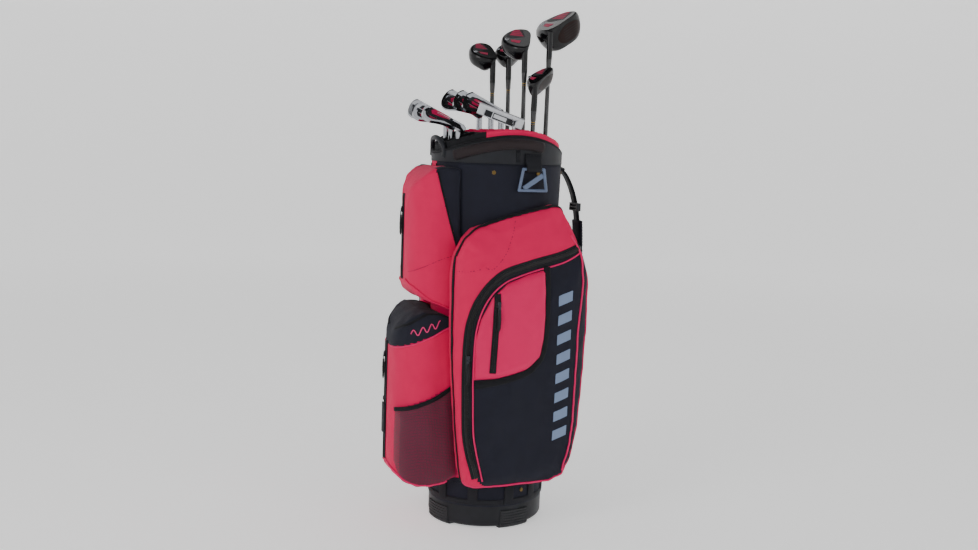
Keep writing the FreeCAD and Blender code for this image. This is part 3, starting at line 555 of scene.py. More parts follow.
def near_lay(tree, line, lift=0.0):
    """Moves a line onto the nearest cloth; returns points with their normals."""
    out = []
    for p in line:
        hit, normal, _, _ = tree.find_nearest(p)
        out.append((hit + normal * lift, normal))
    return out


def edge_line(tree, side, xyz, lift=0.0, closed=False, step=4 * MM):
    pts = rounded([(side * x * MM, y * MM, z * MM) for x, y, z in xyz], step, closed)
    return near_lay(tree, pts, lift)


def snap(point, ring):
    """The nearest place on a ring of corners to a flat point, and how far it is."""
    best, at = 1e9, point
    px, py = point
    for (ax, ay), (bx, by) in zip(ring, ring[1:] + ring[:1]):
        dx, dy = bx - ax, by - ay
        k = max(0.0, min(1.0, ((px - ax) * dx + (py - ay) * dy) / (dx * dx + dy * dy)))
        d = math.hypot(px - ax - k * dx, py - ay - k * dy)
        if d < best:
            best, at = d, (ax + k * dx, ay + k * dy)
    return at, best


def patch(name, rings, cell, tree, start, way, lift, crown=0.0, rim=12.0, thick=0.0):
    """Flat shapes cut on a fine grid and laid over a surface: printing, badges and raised
    panels. start turns flat millimetres into a place to drop from, way is the direction."""
    verts, faces = [], []
    for ring in rings:
        x0, x1 = min(p[0] for p in ring), max(p[0] for p in ring)
        y0, y1 = min(p[1] for p in ring), max(p[1] for p in ring)
        nx, ny = math.ceil((x1 - x0) / cell), math.ceil((y1 - y0) / cell)
        full = [(i, j) for i in range(-1, nx + 1) for j in range(-1, ny + 1)
                if inside((x0 + (i + 0.5) * cell, y0 + (j + 0.5) * cell), ring)]
        uses = {}
        for i, j in full:
            for c in ((i, j), (i + 1, j), (i + 1, j + 1), (i, j + 1)):
                uses[c] = uses.get(c, 0) + 1
        at = {}
        for (i, j), count in uses.items():
            p = (x0 + i * cell, y0 + j * cell)
            edge, d = snap(p, ring)
            if count < 4:
                p, d = edge, 0.0
            origin = start(*p)
            hit, normal, _, _ = tree.ray_cast(origin, way)
            if hit is None:
                continue
            if normal.dot(way) > 0:
                normal = -normal
            k = min(1.0, d / rim)
            at[(i, j)] = len(verts)
            verts.append(hit + normal * (lift + crown * (k * (2 - k))))
        for i, j in full:
            ring_of = [(i, j), (i + 1, j), (i + 1, j + 1), (i, j + 1)]
            if all(c in at for c in ring_of):
                faces.append([at[c] for c in ring_of])
    obj = new_mesh(name, verts, faces)
    if thick:
        m = obj.modifiers.new("thick", "SOLIDIFY")
        m.thickness, m.offset = thick, -1.0
        settle(obj)
    bm = bmesh.new()
    bm.from_mesh(obj.data)
    middle = bm.faces[:] and max(bm.faces, key=lambda f: f.calc_area())
    if middle and not thick and middle.normal.dot(way) > 0:
        bmesh.ops.reverse_faces(bm, faces=bm.faces)
    bm.to_mesh(obj.data)
    bm.free()
    return obj


def turned(name, rings, count=24, matrix=None):
    """A round piece from (radius, height) pairs about its own Z axis."""
    verts, faces = [], []
    for r, z in rings:
        for k in range(count):
            a = math.tau * k / count
            verts.append(Vector((r * math.cos(a), r * math.sin(a), z)))
    for j in range(len(rings) - 1):
        for k in range(count):
            q = (k + 1) % count
            faces.append((j * count + k, j * count + q, (j + 1) * count + q, (j + 1) * count + k))
    faces.append(tuple(range(count))[::-1])
    faces.append(tuple((len(rings) - 1) * count + k for k in range(count)))
    if matrix:
        verts = [matrix @ (v * MM) for v in verts]
    return new_mesh(name, verts, faces)


# ---------------------------------------------------------------- bag cloth
# Seam lines on the side pocket, as (y, z) in millimetres.
POCKET_ZIP = [(-76, 132), (-93, 190), (-102, 260), (-104, 405), (-98, 470), (-76, 526), (-36, 566), (30, 588),
              (100, 606), (146, 626)]
POCKET_ZIP_CORD = [(-62, 124), (-80, 190), (-89, 260), (-91, 405), (-85, 466), (-66, 516), (-30, 552), (32, 574),
                   (102, 592), (140, 612)]
POCKET_FRONT_EDGE = [(122, -100, 118), (124, -112, 170), (124, -119, 250), (124, -128, 400), (124, -132, 540),
                     (124, -128, 604)]
POCKET_TOP_EDGE = [(128, -128, 604), (132, -112, 640), (136, -84, 663), (138, -20, 688), (138, 40, 704),
                   (134, 86, 711), (124, 108, 700), (112, 128, 664)]
POCKET_BOTTOM_EDGE = [(138, -104, 122), (146, -80, 110), (150, 0, 109), (150, 60, 109), (150, 96, 110),
                      (148, 122, 122), (146, 141, 160), (144, 154, 230), (140, 163, 330), (138, 170, 430),
                      (138, 170, 530), (136, 162, 575), (134, 148, 608), (128, 124, 668)]
POCKET_BACK_CORD = [(160, 122, 652), (160, 142, 612), (161, 149, 560), (160, 148, 520), (160, 143, 476),
                    (158, 139, 430), (158, 137, 300), (156, 131, 200), (152, 122, 134)]
NAVY_FACE = POCKET_ZIP + [(176, 640), (190, 500), (180, 300), (160, 140), (130, 95), (-40, 90)]
PANEL = [(-90, 346), (-40, 349), (20, 366), (52, 392), (60, 430), (62, 500), (62, 578), (20, 568), (-26, 550),
         (-58, 520), (-80, 474), (-90, 430)]
PANEL_BAND = [(62, 584), (62, 500), (60, 430), (51, 390), (22, 362), (-36, 344), (-86, 334)]


def side_start(side):
    return lambda y, z: Vector((side * 0.4, y * MM, z * MM))


def garment_pocket(side):
    node = "garment_pocket_right" if side > 0 else "garment_pocket_left"
    obj = skin_of(node, node + "_cloth")

    def held(co):
        y, z = co.y / MM, co.z / MM
        return 1.0 if abs(co.x) / MM < 128 or near((y, z), POCKET_ZIP) < 12 else 0.0

    puff(obj, held, pressure=2.2, cap=5 * MM)
    wrinkle(obj, 3.0 * MM, 9.0, (1, 1, 0.55), lambda c: min(1.0, max(0.0, (abs(c.x) / MM - 124) / 30)), 3.0 * side)
    wrinkle(obj, 1.1 * MM, 30.0, (1, 1, 0.6), None, 9.0)
    dress(obj, pink_cloth, navy_cloth)

    def choose(c, n):
        y, z = c.y / MM, c.z / MM
        if abs(c.x) / MM < 100 and y < 0:
            return 0
        if y > 134 and z < 640:
            return 1
        return 1 if inside((y, z), NAVY_FACE) else 0

    pick_faces(obj, choose)
    bag_piece(obj, "pink_fabric")
    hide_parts(node)
    tree, tag = tree_of(obj), "right" if side > 0 else "left"
    piping("pocket_bottom_cord_" + tag, edge_line(tree, side, POCKET_BOTTOM_EDGE, 1 * MM))
    piping("pocket_back_cord_" + tag, edge_line(tree, side, POCKET_BACK_CORD, 1 * MM), 2.0)
    binding("pocket_front_binding_" + tag, edge_line(tree, side, POCKET_FRONT_EDGE, 0.4 * MM), 7, 1.6)
    binding("pocket_top_binding_" + tag, edge_line(tree, side, POCKET_TOP_EDGE, 0.4 * MM), 8, 1.8)
    zip_run("pocket_zip_" + tag, side_line(tree, POCKET_ZIP, 0.2 * MM, side), 21.0, 8.0)
    piping("pocket_zip_cord_" + tag, side_line(tree, POCKET_ZIP_CORD, 0.8 * MM, side), 1.7)
    for k, seam in enumerate(([(-6, 678), (-14, 648), (-28, 612), (-56, 580), (-76, 584)],
                              [(-84, 579), (-104, 574), (-126, 572)])):
        stitches("pocket_seam_%s_%d" % (tag, k), side_line(tree, seam, 0.3 * MM, side))
    return obj, tree


def stitches(name, track, length=4.2, gap=2.4, width=1.1, material=None):
    """A row of lockstitch: short threads on the cloth."""
    track = evened(track)
    verts, faces = [], []
    run = 0.0
    for (p, n), (q, _) in zip(track, track[1:]):
        span = (q - p).length
        if span < 1e-6:
            continue
        along = (q - p) / span
        side = along.cross(n).normalized()
        while run < span:
            a = p + along * run
            b = p + along * min(run + length * MM, span)
            w, h = side * width / 2 * MM, n * 0.5 * MM
            k = len(verts)
            verts += [a - w, b - w, b - w * 0.4 + h, a - w * 0.4 + h, a + w, b + w, b + w * 0.4 + h, a + w * 0.4 + h]
            faces += [(k, k + 1, k + 2, k + 3), (k + 3, k + 2, k + 6, k + 7), (k + 7, k + 6, k + 5, k + 4),
                      (k, k + 3, k + 7, k + 4), (k + 1, k + 5, k + 6, k + 2)]
            run += (length + gap) * MM
        run -= span
    obj = new_mesh(name, verts, faces, smooth=False)
    return bag_piece(obj, "webbing", material or seam_thread)


def side_panel(tree):
    """The raised embossed pocket on the camera side, with its band, zip and print."""
    panel = patch("valuables_pocket_cloth", [PANEL], 3.5, tree, side_start(1), Vector((-1, 0, 0)),
                  1.2 * MM, 5.5 * MM, 16.0, 1.4 * MM)
    bag_piece(panel, "pink_fabric", pink_panel)
    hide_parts("valuables_pocket")
    top = tree_of(panel)
    binding("panel_band", side_line(tree, PANEL_BAND, 0.6 * MM), 15, 3.0, black_cloth, 0.8)
    slot_line = side_line(top, [(-48, 536), (-51, 450), (-54, 362)], 0.3 * MM)
    bag_piece(sweep("welded_zip", evened(slot_line, 8), band_section(14 * MM, 1.2 * MM, 0.3 * MM)), "zip_tape",
              zip_tape)
    bag_piece(sweep("welded_zip_coil", [(p + n * 1.1 * MM, n) for p, n in evened(slot_line, 8)][2:-2],
                    band_section(5 * MM, 1.3 * MM, 0.5 * MM)), "zip_tape", zip_coil)
    bars = []
    for k in range(8):
        z = 206 + 42 * k
        bars.append([(90, z), (122, z + 12), (122, z + 34), (90, z + 22)])
    bag_piece(patch("slanted_bars_print", bars, 3.0, tree, side_start(1), Vector((-1, 0, 0)), 0.5 * MM),
              "pink_fabric", print_ink)


# ---------------------------------------------------------------- front pockets
def front_pocket(node, seed, rail, choose):
    """A filled front pocket whose cloth is flat and firm under its zip, at x = rail."""
    obj = skin_of(node, node + "_cloth")
    lo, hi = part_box(node)

    def off_rail(co):
        return min(1.0, max(0.0, (abs(co.x - rail * MM) - 0.012) / 0.03))

    def held(co):
        return 1.0 if co.y > lo[1] + 0.55 * (hi[1] - lo[1]) or off_rail(co) == 0.0 else 0.0

    puff(obj, held, pressure=2.2, cap=5 * MM)
    wrinkle(obj, 3.0 * MM, 11.0, (1, 1, 0.7), off_rail, seed)
    wrinkle(obj, 1.0 * MM, 36.0, (1, 1, 0.8), off_rail, seed + 4)
    dress(obj, pink_cloth, navy_cloth, net_back)
    pick_faces(obj, choose)
    bag_piece(obj, "pink_fabric")
    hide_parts(node)
    return obj


def front_rail(tree, x, z0, z1, lift):
    return front_line(tree, [(x, z0), (x, (z0 + z1) / 2), (x, z1)], lift)


NET_TOP = [(-228, 264), (-205, 272), (-170, 286), (-140, 300), (-112, 320)]
FLAP_EDGE = [(-237, 396), (-205, 408), (-165, 426), (-130, 444), (-104, 452)]


def lower_pocket():
    def choose(c, n):
        y, z = c.y / MM, c.z / MM
        if z > 396 + (y + 238) * 0.43:
            return 1
        return 2 if abs(c.x) > 0.06 and y > -236 and z < 262 + (y + 236) * 0.45 else 0

    obj = front_pocket("lower_front_pocket", 7.0, -18, choose)
    tree = tree_of(obj)
    zip_run("lower_zip", front_rail(tree, -18, 136, 400, 0.3 * MM), 20.0, 7.0)
    binding("lower_zip_edge", front_rail(tree, -4, 132, 404, 0.3 * MM), 5, 1.4)
    for side, tag in ((1, "right"), (-1, "left")):
        net_ring = [(-228, 150), (-222, 126), (-205, 108), (-178, 101), (-130, 107), (-104, 122), (-112, 316),
                    (-140, 296), (-170, 282), (-205, 268), (-228, 260)]
        cover = patch("net_pocket_" + tag, [net_ring], 4.0, tree, side_start(side), Vector((-side, 0, 0)),
                      1.5 * MM, 4.0 * MM, 26.0)
        bag_piece(cover, "mesh", net)
        if side > 0:
            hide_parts("mesh_pockets")
        binding("net_pocket_hem_" + tag, side_line(tree, NET_TOP, 3.0 * MM, side), 9, 1.6)
        piping("flap_cord_" + tag, side_line(tree, FLAP_EDGE, 0.8 * MM, side), 1.8)
        base = [(0, -238, 138), (40, -230, 128), (70, -212, 112), (86, -188, 104), (91, -160, 101), (92, -120, 106)]
        piping("lower_pocket_cord_" + tag, edge_line(tree, side, base, 1 * MM))
        top = [(30, -226, 436), (60, -214, 446), (80, -196, 462), (88, -172, 476), (90, -140, 473), (91, -104, 458)]
        binding("lower_pocket_top_binding_" + tag, edge_line(tree, side, top, 0.4 * MM), 6, 1.4)
    wave = [(-206 + 2.6 * k, 432 + 1.0 * k + 7 * math.sin(k * 0.9)) for k in range(24)]
    bag_piece(sweep("flap_wave", evened(side_line(tree, wave, 0.3 * MM, 1, False, 3 * MM), 1),
                    band_section(2.2 * MM, 0.3 * MM)), "pink_fabric", pink_ink)
    tab_line = [(-126, 470), (-122, 452), (-118, 436)]
    binding("flap_tab", side_line(tree, tab_line, 1.0 * MM), 12, 2.2)
    loop = near_lay(tree, rounded([(-0.016, -0.24, 0.262), (-0.016, -0.24, 0.232), (-0.016, -0.24, 0.196)]), 2 * MM)
    binding("lower_zip_garage", loop, 24, 3.0, webbing)
    return obj


def upper_pocket():
    def choose(c, n):
        """Navy behind the slanted seam of the dark upper panel."""
        return 1 if abs(c.x) > 0.06 and c.y > -0.163 + (0.784 - c.z) * 0.288 else 0

    obj = front_pocket("upper_front_pocket", 2.0, -6, choose)
    tree = tree_of(obj)
    zip_run("upper_zip", front_rail(tree, -6, 540, 724, 0.3 * MM), 19.0, 7.0)
    for side, tag in ((1, "right"), (-1, "left")):
        slant = [(88, -160, 776), (89, -151, 742), (89, -140, 704), (89, -130, 668), (89, -112, 607)]
        binding("upper_panel_edge_" + tag, edge_line(tree, side, slant, 0.4 * MM), 4, 1.2)
        low = [(20, -206, 542), (60, -190, 524), (80, -168, 504), (88, -140, 492), (90, -104, 474)]
        piping("upper_pocket_cord_" + tag, edge_line(tree, side, low, 0.8 * MM), 1.8, pink_cloth)
        stitches("upper_pocket_seam_" + tag, side_line(tree, [(-204, 560), (-180, 574), (-150, 590), (-120, 600)],
                                                       0.3 * MM, side))
    return obj


# ---------------------------------------------------------------- barrel, collar and divider
def body_half_axes(z):
    k = (z - 50.0) / 745.0
    return 118 + 11 * k, 129 + 15 * k


def body_point(turn, z, out=0.0):
    rx, ry = body_half_axes(z)
    a = math.radians(turn)
    return Vector(((rx + out) * math.cos(a), (ry + out) * math.sin(a), z)) * MM


def shell_normal(turn, z):
    rx, ry = body_half_axes(z)
    a = math.radians(turn)
    return Vector((math.cos(a) / rx, math.sin(a) / ry, 0)).normalized()


def on_body(turns, lift):
    """A laid line round the barrel from (turn, z) pairs."""
    pts = rounded([(t, z, 0) for t, z in turns], 3.0)
    return [(body_point(p.x, p.y, lift), shell_normal(p.x, p.y)) for p in pts]


def dark_edge(z):
    """The turn at which the dark upper panel begins, narrowing downward to a point."""
    return -81 + (782 - z) * 0.17


def bag_body():
    """The cloth barrel between base and collar, with soft dents where nothing holds it."""
    around, up = 180, 110
    verts, faces, uvs = [], [], []
    for j in range(up + 1):
        z = 50 + 745 * j / up
        free = math.sin(math.pi * j / up) ** 0.5
        for i in range(around):
            turn = 360 * i / around
            p = body_point(turn, z)
            dent = noise.fractal(Vector((p.x * 9, p.y * 9, p.z * 6)), 0.9, 2.0, 3) * 2.6 * free - 0.8 * free
            verts.append(body_point(turn, z, min(dent, 0.8)))
            uvs.append((math.radians(turn) * 0.13, z * MM))
    for j in range(up):
        for i in range(around):
            k = (i + 1) % around
            faces.append((j * around + i, j * around + k, (j + 1) * around + k, (j + 1) * around + i))
    obj = new_mesh("body_cloth", verts, faces, uvs)
    thick = obj.modifiers.new("lining", "SOLIDIFY")
    thick.thickness, thick.offset = 2.6 * MM, -1.0
    settle(obj)
    dress(obj, pink_cloth, navy_cloth)

    def choose(c, n):
        y, z = c.y / MM, c.z / MM
        rx, ry = body_half_axes(z)
        turn = math.degrees(math.atan2(y / ry, c.x / MM / rx))
        if z < 110:
            return 1
        edge = dark_edge(z)
        return 1 if z > 560 and (turn > edge or turn < -180 - edge) else (1 if abs(turn) > 60 and y > 0 else 0)

    pick_faces(obj, choose)
    bag_piece(obj, "dark_fabric")
    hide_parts("body_tube")
    for side, tag in ((1, "right"), (-1, "left")):
        turns = [(dark_edge(z), z) for z in (790, 740, 690, 640, 606)]
        if side < 0:
            turns = [(180 - t, z) for t, z in turns]
        piping("dark_panel_cord_" + tag, on_body(turns, 0.6), 1.6, black_cloth)
    full = [(t, 100) for t in range(0, 361, 12)]
    stitches("base_seam", on_body(full, 0.4))
    binding("base_binding", on_body([(t, 60) for t in range(0, 361, 12)], 0.3), 12, 1.6, webbing)
    for turn in (-64, -30, 6, 34, 62):
        side = [(turn, 58), (turn + 0.01, 74), (turn, 96)]
        binding("base_tab_%d" % (turn + 100), on_body(side, 0.6), 22, 1.6, webbing)
    specks = []
    for k in range(7):
        t, z = dark_edge(770 - 13 * k) + 5, 770 - 13 * k
        specks.append((t, z))
    for k, (t, z) in enumerate(specks):
        dash = [(t, z), (t + 0.35, z - 3), (t + 0.7, z - 3 - 2.2 * (1 + k % 3))]
        bag_piece(sweep("panel_dash_%d" % k, on_body(dash, 0.7), band_section(2.6 * MM, 0.25 * MM)), "pink_fabric",
                  pale_ink)
    return obj


ARCH_R, ARCH_Z = 277.0, 574.0


def rim_point(turn, drop=0.0, out=0.0):
    a = math.radians(turn)
    x, y = (130 + out) * math.cos(a), (145 + out) * math.sin(a)
    return Vector((x, y, ARCH_Z + math.sqrt(ARCH_R ** 2 - min(abs(y), 145) ** 2) + drop)) * MM


def rim_normal(turn):
    a = math.radians(turn)
    return Vector((math.cos(a) / 130, math.sin(a) / 145, 0)).normalized()


def collar_trim():
    """The rolled edge of the mouth, the padded carry bands and the collar's webbing."""
    rim = [(rim_point(t, 0.5, -4.0), rim_normal(t)) for t in range(0, 360, 4)]
    bag_piece(sweep("rim_roll", rim, cord_section(4.4 * MM, 10), closed=True), "collar_plastic", black_cloth)
    for side, tag in ((1, "right"), (-1, "left")):
        band = []
        for k in range(41):
            turn = -56 + (24 + 56) * k / 40
            if side < 0:
                turn = 180 - turn
            band.append((rim_point(turn, -14, 0.6), rim_normal(turn)))
        w = 11 * MM
        profile = [(-w, 0), (-w, 2 * MM), (-w * 0.8, 4.4 * MM), (-w * 0.4, 6 * MM), (0, 6.4 * MM), (w * 0.4, 6 * MM),
                   (w * 0.8, 4.4 * MM), (w, 2 * MM), (w, 0)]
        obj = bag_piece(sweep("carry_band_" + tag, band, profile), "handle_wrap", handle_cloth)
        if side > 0:
            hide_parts("handle_bands")
        for k, h in enumerate((-8.6, 8.6)):
            line = [(p + n * 4.4 * MM + Vector((0, 0, h * MM)), n) for p, n in band[1:-1]]
            stitches("carry_band_stitch_%s_%d" % (tag, k), line, material=seam_thread)
    for k, turn in enumerate(range(0, 360, 30)):
        line = [(rim_point(turn, -27 - d, 0.4), rim_normal(turn)) for d in (0, 8, 16, 24)]
        if rim_point(turn, -51).z > 0.8:
            binding("collar_rib_%d" % k, line, 9, 1.6, webbing)


def divider():
    obj = skin_of("divider_top", "divider_top_cloth", 2.6, 3)
    mesh = obj.data
    normals = [v.normal.copy() for v in mesh.vertices]
    for v, n in zip(mesh.vertices, normals):
        v.co += n * (1.3 + 0.4 * noise.noise(v.co * 40)) * MM
    dress(obj, pink_cloth, black_cloth)
    pick_faces(obj, lambda c, n: 1 if c.y < -0.064 else 0)
    bag_piece(obj, "pink_fabric")
    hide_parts("divider_top")
    dress(nodes["divider_walls"], lining_cloth)


# ---------------------------------------------------------------- webbing, ring and pulls
def ring_loop():
    """Webbing folded round the ring's top bar, its tails stitched to the collar."""
    bx, bz, r = 137.5, 786.0, 4.6
    line = [((131.4, 818), (1, 0)), ((131.4, 806), (1, 0)), ((132.2, 796), (1, 0.1))]
    for k in range(9):
        a = math.radians(180 + 22.5 * k)
        line.append(((bx + r * math.cos(a), bz + r * math.sin(a)), (math.cos(a), math.sin(a))))
    line += [((138.0, 798), (1, 0.1)), ((134.6, 806), (1, 0.2)), ((134.0, 818), (1, 0))]
    track = [(Vector((x, 33, z)) * MM, Vector((nx, 0, nz)).normalized()) for (x, z), (nx, nz) in line]
    obj = bag_piece(sweep("ring_loop_webbing", track, band_section(34 * MM, 1.4 * MM)), "webbing", webbing)
    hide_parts("towel_ring_loop")
    for k, z in enumerate((802, 815)):
        line = [(Vector((136.2, 18 + 3 * q, z)) * MM, Vector((1, 0, 0))) for q in range(11)]
        stitches("ring_loop_stitch_%d" % k, line)


STRAP = [(155, 782), (168, 768), (186, 730), (198, 680), (203, 610), (203, 500), (198, 420), (184, 360),
         (164, 326), (150, 316)]


def strap():
    pts = rounded([(0, y * MM, z * MM) for y, z in STRAP], 6 * MM)
    track = []
    for i, p in enumerate(pts):
        along = (pts[min(i + 1, len(pts) - 1)] - pts[max(i - 1, 0)]).normalized()
        track.append((p, Vector((0, -along.z, along.y)).normalized() * -1))
    track = [(p, n if n.y > 0 else -n) for p, n in track]
    web = bag_piece(sweep("strap_webbing", [(p - n * 1.3 * MM, n) for p, n in track],
                          band_section(30 * MM, 2.6 * MM)), "webbing", webbing)
    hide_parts("shoulder_strap")
    pad = [(p, n) for p, n in track if 0.425 < p.z < 0.672]
    half = 25 * MM
    section = [(-half, -1 * MM), (-half, 1 * MM), (-half * 0.8, 4.4 * MM), (-half * 0.4, 5.8 * MM), (0, 6.2 * MM),
               (half * 0.4, 5.8 * MM), (half * 0.8, 4.4 * MM), (half, 1 * MM), (half, -1 * MM),
               (half * 0.7, -4 * MM), (0, -5 * MM), (-half * 0.7, -4 * MM)]
    cushion = bag_piece(sweep("strap_pad", pad, section), "webbing", navy_cloth)
    for k, s in enumerate((-1, 1)):
        edge = [(p + Vector((s * 20 * MM, 0, 0)) + n * 4.6 * MM, n) for p, n in pad]
        stitches("strap_pad_stitch_%d" % k, edge)
    for k, (y, z, lean) in enumerate(((150, 782, 0), (148, 318, 0))):
        track = [(Vector((0, y - 14 + 5 * q, z)) * MM, Vector((0, 0, 1))) for q in range(5)]
        bag_piece(sweep("strap_anchor_%d" % k, track, band_section(38 * MM, 5 * MM, 2 * MM)), "webbing", webbing)


def pull_tab(node, out, length=46.0):
    """A moulded cord pull over the slider's metal tongue."""
    lo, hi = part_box(node)
    mid = (lo + hi) / 2
    mid = Vector((mid.x, mid.y, 0))
    top = hi.z - 16 * MM
    out = Vector(out)
    side = out.cross(Vector((0, 0, 1))).normalized()
    face = max(lo.dot(out), hi.dot(out))
    base = mid - out * mid.dot(out) + out * (face - 1.2 * MM)
    verts, faces = [], []
    rows, count = 16, 12
    for j in range(rows + 1):
        k = j / rows
        z = top - length * MM * k
        swell = 0.62 + 0.38 * math.sin(math.pi * min(1, k * 1.05)) ** 0.6 + 0.06 * math.sin(k * math.tau * 5)
        if j in (0, rows):
            swell *= 0.55
        for i in range(count):
            a = math.tau * i / count
            verts.append(base + side * (4.4 * MM * swell * math.cos(a)) + out * (2.4 * MM * swell * math.sin(a))
                         + Vector((0, 0, z)))
    for j in range(rows):
        for i in range(count):
            q = (i + 1) % count
            faces.append((j * count + i, (j + 1) * count + i, (j + 1) * count + q, j * count + q))
    faces.append(tuple(range(count)))
    faces.append(tuple(rows * count + i for i in range(count))[::-1])
    obj = new_mesh(node + "_pull", verts, faces)
    dress(obj, pull_rubber)
    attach(obj, node)


# ---------------------------------------------------------------- clubs
# name: length, x and y at 850 mm, turn of the toe, lean in x and y
CLUBS = {
    "driver": (1075, 9, 109, 108, 0, 0.4), "wood_3": (1036, 19, 51, 157, 0, -0.6),
    "wood_5": (1025, -83.5, 53.5, 129, -0.4, -0.8), "wood_7": (1016, -87.5, 16.5, -179, 0, -0.8),
    "hybrid": (956, 92, 45, 120, 0.5, 0.6), "iron_6": (904, -66.5, -20.5, -118, 0, -0.2),
    "iron_7": (901, -12, -12.5, -106.5, 0, -0.2), "iron_8": (896, 40, -8, -109.5, 0, -0.2),
    "iron_9": (880, -54, -101.5, -111.5, 0, -0.8), "pitching_wedge": (872, 2.5, -107, -111, 0, -0.8),
    "sand_wedge": (864, 48.5, -105, -104, 0, -0.8), "putter": (881, 102, 0.5, -110, 0.5, 0),
}
WOODS = {"driver": (112, 92, 56, 11, 32), "wood_3": (92, 66, 38, 16, 33), "wood_5": (87, 62, 36, 19, 32),
         "wood_7": (83, 58, 36, 22, 31), "hybrid": (82, 46, 34, 24, 31)}
IRONS = {"iron_6": (27, 29), "iron_7": (30, 28.5), "iron_8": (34, 28), "iron_9": (38, 27.5),
         "pitching_wedge": (43, 27), "sand_wedge": (52, 27)}


def club_frame(name):
    """From a club's own axes, in metres, to its place in the bag."""
    length, x, y, turn, lean_x, lean_y = CLUBS[name]
    along = Vector((math.tan(math.radians(lean_x)), math.tan(math.radians(lean_y)), 1))
    lean = Vector((0, 0, 1)).rotation_difference(along).to_matrix().to_4x4()
    butt = (Vector((x, y, 850)) - along * 835) * MM
    return Matrix.Translation(butt) @ lean @ Matrix.Rotation(math.radians(turn), 4, "Z")


def head_frame(name, rise):
    return (club_frame(name) @ Matrix.Translation((0, 0, CLUBS[name][0] * MM))
            @ Matrix.Rotation(math.radians(-rise), 4, "Y"))


def club_piece(obj, name, slot, *materials):
    dress(obj, *materials)
    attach(obj, name)
    return obj


def wood_details(name):
    long, deep, high, loft, rise = WOODS[name]
    m = head_frame(name, rise)
    tree = tree_of(nodes[name + "_head"])
    down = (m.to_3x3() @ Vector((0, 0, -1))).normalized()
    ahead = (m.to_3x3() @ Vector((0, 1, 0))).normalized()

    def over_sole(x, y):
        return m @ (Vector((x, y, 40)) * MM)

    def before_face(x, z):
        return m @ (Vector((x, -60, z)) * MM)

    mid, half = long * 0.5 - 15, long * 0.5
    s = long / 100
    wing = [(mid + 4 * s, 2 * s), (mid + half * 0.74, 8 * s), (mid + half * 0.8, deep * 0.34), (mid + half * 0.5, deep * 0.56),
            (mid + 2 * s, deep * 0.66), (mid - 4 * s, deep * 0.4)]
    club_piece(patch(name + "_sole_panel", [wing], 2.0, tree, over_sole, down, 0.15 * MM), name, "wood_paint",
               graphite_paint)
    blades = []
    for k in range(4):
        a = mid + (6 + 8.5 * k) * s
        blades.append([(a, (6 + 3 * k) * s), (a + 5.5 * s, (6 + 3 * k) * s), (a + 12 * s, deep * (0.5 - 0.03 * k)),
                       (a + 5 * s, deep * (0.55 - 0.04 * k))])
    club_piece(patch(name + "_sole_stripes", blades, 1.5, tree, over_sole, down, 0.3 * MM), name, "wood_paint",
               magenta_paint)
    heel = [(mid - half * 0.55, deep * 0.2), (mid - half * 0.3, deep * 0.14), (mid - half * 0.2, deep * 0.5),
            (mid - half * 0.42, deep * 0.46)]
    club_piece(patch(name + "_heel_stripe", [heel], 1.5, tree, over_sole, down, 0.3 * MM), name, "wood_paint",
               magenta_paint)
    fx, fz = mid + 2, -high * 0.52
    plate = [(fx + math.cos(a) * long * 0.36 * (1 + 0.08 * math.cos(a)), fz + math.sin(a) * high * 0.36)
             for a in [math.tau * k / 28 for k in range(28)]]
    club_piece(patch(name + "_face_plate", [plate], 2.0, tree, before_face, ahead, 0.15 * MM), name, "wood_paint",
               bronze_face)
    grooves = [[(fx - long * 0.16, fz - high * 0.2 + k * high * 0.1), (fx + long * 0.2, fz - high * 0.2 + k * high * 0.1),
                (fx + long * 0.2, fz - high * 0.2 + k * high * 0.1 + 0.9),
                (fx - long * 0.16, fz - high * 0.2 + k * high * 0.1 + 0.9)] for k in range(5)]
    club_piece(patch(name + "_face_grooves", grooves, 0.9, tree, before_face, ahead, 0.32 * MM), name, "wood_paint",
               graphite_paint)
    hit, _, _, _ = tree.ray_cast(over_sole(mid - half * 0.18, deep * 0.62), down)
    if hit:
        place = m.copy()
        place.translation = hit
        screw = turned(name + "_weight_screw", [(4.6, -1.0), (4.6, 0.5), (4.0, 0.9), (2.2, 0.9), (1.9, -0.3)],
                       20, place)
        club_piece(screw, name, "iron_chrome", chrome)


